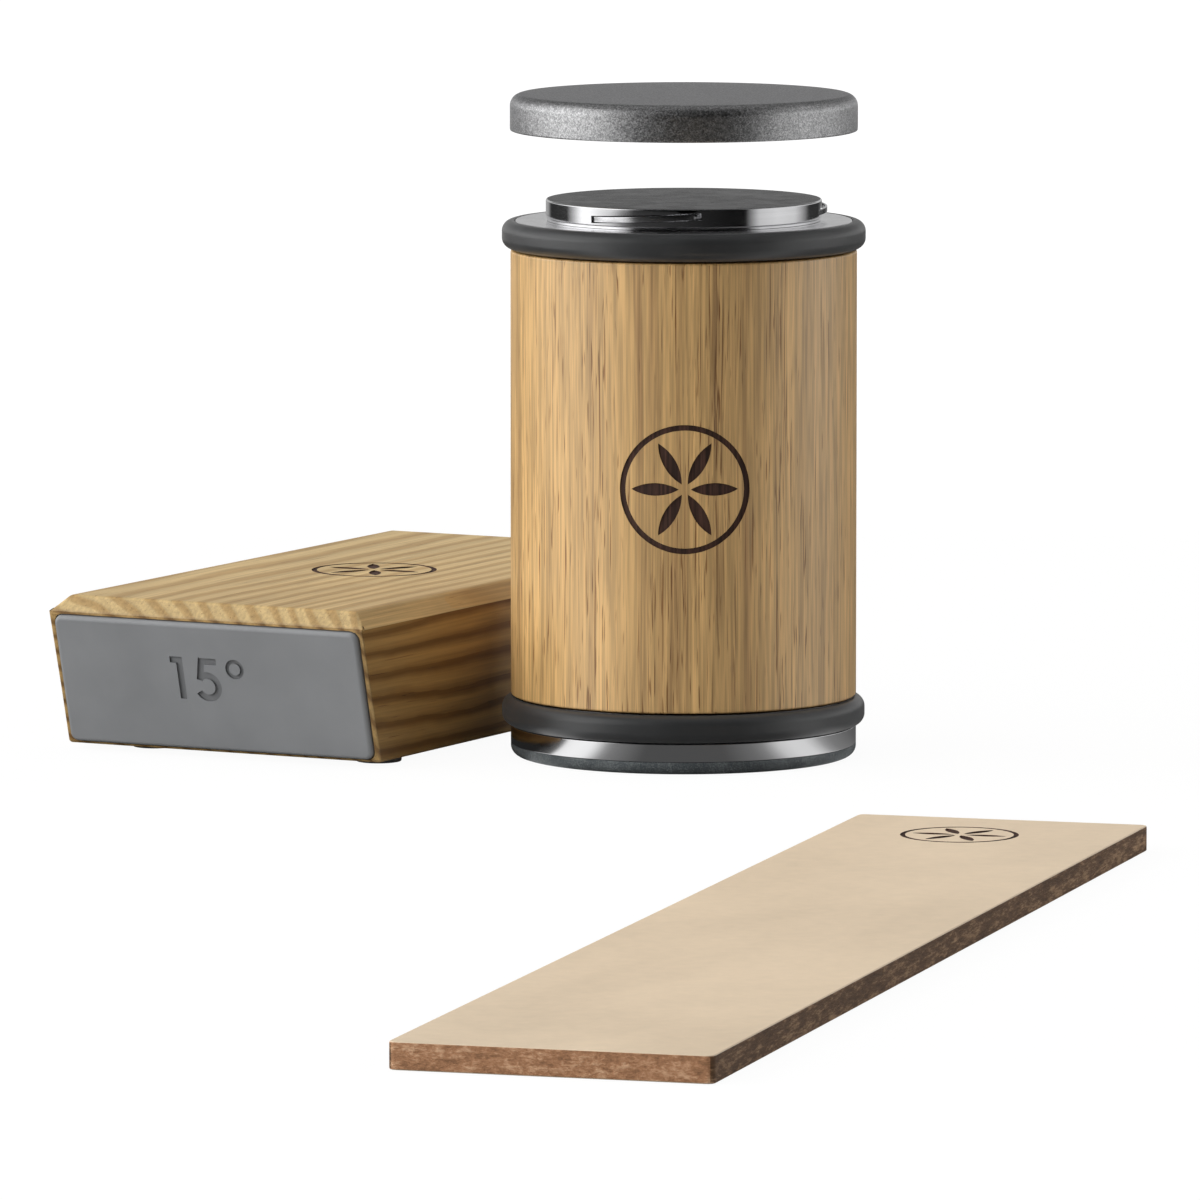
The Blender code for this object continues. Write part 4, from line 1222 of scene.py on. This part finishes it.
class SHARPENER_OT_inner_parts(bpy.types.Operator):
    """Gives the pieces inside the roller and the block their metal"""

    bl_idname = "sharpener.inner_parts"
    bl_label = "Inner parts"

    def execute(self, context):
        finishes = context.scene.sharpener_finishes
        ground = make_turned_steel("ground_steel", finishes.steel, 0.18, 0.000002)
        aluminium = make_turned_steel("turned_aluminium", (0.76, 0.77, 0.78), 0.32, 0.000008)
        spring_steel = make_turned_steel("spring_steel", shade(finishes.steel, 0.55), 0.34, 0.000004)
        nickel = make_nickel()
        by_start = {
            "axle_spacer": aluminium,
            "axle": ground,
            "sleeve_liner": aluminium,
            "inner_race": ground,
            "outer_race": ground,
            "ball_cage": ground,
            "bearing_housing": aluminium,
            "circlip": spring_steel,
            "keeper": ground,
            "magnet": nickel,
        }
        for name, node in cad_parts.items():
            for start, material in by_start.items():
                if name.startswith(start):
                    node.data.materials.clear()
                    node.data.materials.append(material)
                    break
        return {"FINISHED"}


class SHARPENER_OT_stage(bpy.types.Operator):
    """Lays the pale floor, hangs the studio's soft light and sets up the camera"""

    bl_idname = "sharpener.stage"
    bl_label = "Stage"

    def execute(self, context):
        scene = context.scene
        self.floor()
        self.lamps(scene.sharpener_light)
        self.cards()
        self.world(scene.sharpener_light.around)
        self.camera(scene)
        scene.view_settings.view_transform = "Standard"
        return {"FINISHED"}

    def floor(self):
        """A wide disc that catches shadows near the set and fades to white further off."""
        bm = bmesh.new()
        bmesh.ops.create_circle(bm, cap_ends=True, segments=ROUND_STEPS, radius=FLOOR_RADIUS)
        material, tree, shader = new_material("pale_floor")
        put(tree, shader, Base_Color=(0.42, 0.42, 0.415), Roughness=0.9, Specular_IOR_Level=0.1)
        camera_ray = add(tree, "ShaderNodeLightPath").outputs["Is Camera Ray"]
        glow = add(tree, "ShaderNodeEmission", {"Color": (1, 1, 1), "Strength": 1.08}).outputs["Emission"]
        distance = radius_of(tree, at_object(tree))
        share = ramp(tree, distance, (0.35, 0.88), (1.0, 1.0))
        seen = add(
            tree,
            "ShaderNodeMixShader",
            {0: maths(tree, "MULTIPLY", camera_ray, share), 1: shader.outputs["BSDF"], 2: glow},
        ).outputs["Shader"]
        tree.links.new(seen, tree.nodes["Material Output"].inputs["Surface"])
        floor = loose("floor", bm, (material,))
        floor.data.transform(Matrix.Translation((0, 0, -FLOOR_DROP)))
        floor.visible_glossy = False

    def lamps(self, light):
        self.lamp("left_softbox", light.left, (-1.38, -0.14, 0.70), 1.7, 1.0, True)
        self.lamp("right_softbox", light.right, (1.30, 0.34, 0.45), 0.8, 0.9, True)
        self.lamp("top_softbox", light.top, (-0.15, 0.10, 1.40), 1.4, 1.4, False)
        self.lamp("front_fill", light.front, (-0.95, -1.35, 0.60), 1.2, 1.0, False)

    def lamp(self, name, power, place, width, height, mirrored):
        """A softbox that is aimed at the set, and that the metal mirrors where mirrored is set."""
        data = bpy.data.lights.new(name, "AREA")
        data.shape = "RECTANGLE"
        data.size, data.size_y = width, height
        data.energy = power
        obj = bpy.data.objects.new(name, data)
        obj.location = place
        obj.rotation_mode = "QUATERNION"
        obj.rotation_quaternion = (LIGHT_AIM - Vector(place)).to_track_quat("-Z", "Y")
        obj.visible_glossy = mirrored
        obj.visible_camera = False
        bpy.context.scene.collection.objects.link(obj)

    def cards(self):
        """Glowing and dark cards round the set and on its floor, which only show in its reflections: painted
        reflections. Each goes through strengths at azimuths in degrees, from the front towards the right, and
        a ring reaches from a lower to an upper height. The one on the floor paints the floor's reflection,
        dark towards the block as painted shadow."""
        # Glowing rings round the set: painted reflections in the metal and the other glossy surfaces
        self.ring("low_card", -0.30, 0.06, (
            (-180, 0.30), (-156, 0.22), (-146, 0.02), (-114, 0.02), (-103, 0.40), (-94, 0.84), (-86, 0.84),
            (-75, 0.64), (-63, 0.44), (-57, 0.25), (-51, 0.10), (-42, 0.03), (52, 0.0), (65, 0.42),
            (84, 0.50), (105, 0.44), (127, 0.02), (150, 0.02), (170, 0.15),
        ))
        self.ring("level_card", 0.06, 0.35, (
            (-135, 0.33), (-115, 0.90), (-94, 1.05), (-60, 1.0), (-43, 0.0), (54, 0.0), (68, 0.50),
            (118, 0.50), (135, 0.33),
        ))
        self.ring("upper_card", 0.35, 1.10, (
            (-135, 0.10), (-115, 0.50), (-60, 0.66), (-38, 0.0), (54, 0.0), (68, 0.24), (118, 0.24),
            (135, 0.10),
        ))
        self.ring("sky_card", 1.10, 3.00, ((-130, 0.14), (-90, 0.02), (90, 0.02), (130, 0.14)))
        # A glowing disc under the floor: the floor's painted reflection, dark towards the block as painted
        # shadow
        bm = bmesh.new()
        bmesh.ops.create_circle(bm, cap_ends=True, segments=ROUND_STEPS, radius=PAINTED_FLOOR_REFLECTION_RADIUS)
        bmesh.ops.translate(bm, vec=(0, 0, -PAINTED_FLOOR_REFLECTION_DROP), verts=bm.verts)
        self.card("painted_floor_reflection", bm, (
            (-180, 0.025), (-130, 0.012), (-82, 0.010), (-74, 0.045), (-69.5, 0.09), (-67, 0.60),
            (-58, 0.64), (-50, 0.60), (-46, 0.42), (-42, 0.20), (-38, 0.13), (-20, 0.05), (20, 0.05),
            (36, 0.10), (42, 0.14), (47, 0.24), (52, 0.38), (60, 0.455), (70, 0.45), (77, 0.32),
            (82, 0.20), (90, 0.13), (120, 0.07), (180, 0.04),
        ))

    def ring(self, name, low, high, stops):
        bm = outline([(0, MIRROR_REACH, low), (0, MIRROR_REACH, high)])
        spin(bm, ROUND_STEPS)
        self.card(name, bm, stops)

    def card(self, name, bm, stops):
        material, tree = new_material(name)[:2]
        place = add(tree, "ShaderNodeTexCoord").outputs["Object"]
        along = add(tree, "ShaderNodeSeparateXYZ", {"Vector": place}).outputs
        azimuth = maths(tree, "ARCTAN2", along["X"], maths(tree, "MULTIPLY", along["Y"], -1.0))
        share = maths(tree, "ADD", maths(tree, "DIVIDE", azimuth, math.tau), 0.5)
        colour = ramp(tree, share, *[((angle + 180) / 360, strength) for angle, strength in stops])
        glow = add(tree, "ShaderNodeEmission", {"Color": colour, "Strength": MIRROR_STRENGTH})
        tree.links.new(glow.outputs["Emission"], tree.nodes["Material Output"].inputs["Surface"])
        card = loose(name, bm, (material,))
        card.visible_camera = False
        card.visible_diffuse = False
        card.visible_transmission = False
        card.visible_shadow = False
        card.visible_volume_scatter = False

    def world(self, around):
        world = bpy.data.worlds.new("studio")
        world.use_nodes = True
        tree = world.node_tree
        path = add(tree, "ShaderNodeLightPath").outputs
        fill = tree.nodes["Background"]
        put(tree, fill, Color=(1, 1, 1), Strength=around)
        white = add(tree, "ShaderNodeBackground", {"Color": (1, 1, 1), "Strength": 1.0}).outputs["Background"]
        grey = add(tree, "ShaderNodeBackground", {"Color": (1, 1, 1), "Strength": 0.20}).outputs["Background"]
        parts = {0: path["Is Glossy Ray"], 1: fill.outputs["Background"], 2: grey}
        mirrored = add(tree, "ShaderNodeMixShader", parts).outputs["Shader"]
        parts = {0: path["Is Camera Ray"], 1: mirrored, 2: white}
        seen = add(tree, "ShaderNodeMixShader", parts).outputs["Shader"]
        tree.links.new(seen, tree.nodes["World Output"].inputs["Surface"])
        bpy.context.scene.world = world

    def camera(self, scene):
        data = bpy.data.cameras.new("camera")
        data.sensor_width = CAMERA_SENSOR
        data.lens = CAMERA_LENS
        data.clip_end = CAMERA_REACH
        camera = bpy.data.objects.new("camera", data)
        camera.location = CAMERA_PLACE
        camera.rotation_euler = (math.radians(90 - CAMERA_DIP), 0, 0)
        scene.collection.objects.link(camera)
        scene.camera = camera


class SHARPENER_PT_panel(bpy.types.Panel):
    """Lists the steps that build the set"""

    bl_idname = "SHARPENER_PT_panel"
    bl_label = "Knife sharpener"
    bl_space_type = "VIEW_3D"
    bl_region_type = "UI"
    bl_category = "Sharpener"

    def draw(self, context):
        for operator in OPERATORS:
            self.layout.operator(operator.bl_idname)
        for name in GROUPS:
            group = getattr(context.scene, name)
            column = self.layout.column()
            for key in group.bl_rna.properties.keys():
                if key not in ("rna_type", "name"):
                    column.prop(group, key)


OPERATORS = (
    SHARPENER_OT_grip,
    SHARPENER_OT_wheels,
    SHARPENER_OT_pucks,
    SHARPENER_OT_discs,
    SHARPENER_OT_block,
    SHARPENER_OT_strop,
    SHARPENER_OT_inner_parts,
    SHARPENER_OT_stage,
)
GROUPS = {
    "sharpener_roller": RollerSizes,
    "sharpener_marks": MarkSizes,
    "sharpener_finishes": Finishes,
    "sharpener_light": StageLight,
}


def register():
    for group in GROUPS.values():
        bpy.utils.register_class(group)
    for name, group in GROUPS.items():
        setattr(bpy.types.Scene, name, PointerProperty(type=group))
    for operator in OPERATORS:
        bpy.utils.register_class(operator)
    bpy.utils.register_class(SHARPENER_PT_panel)


def unregister():
    bpy.utils.unregister_class(SHARPENER_PT_panel)
    for operator in reversed(OPERATORS):
        bpy.utils.unregister_class(operator)
    for name in GROUPS:
        delattr(bpy.types.Scene, name)
    for group in reversed(GROUPS.values()):
        bpy.utils.unregister_class(group)


def main():
    register()
    bpy.ops.sharpener.grip()
    bpy.ops.sharpener.wheels()
    bpy.ops.sharpener.pucks()
    bpy.ops.sharpener.discs()
    bpy.ops.sharpener.block()
    bpy.ops.sharpener.strop()
    bpy.ops.sharpener.inner_parts()
    bpy.ops.sharpener.stage()


if __name__ == "__main__":
    main()
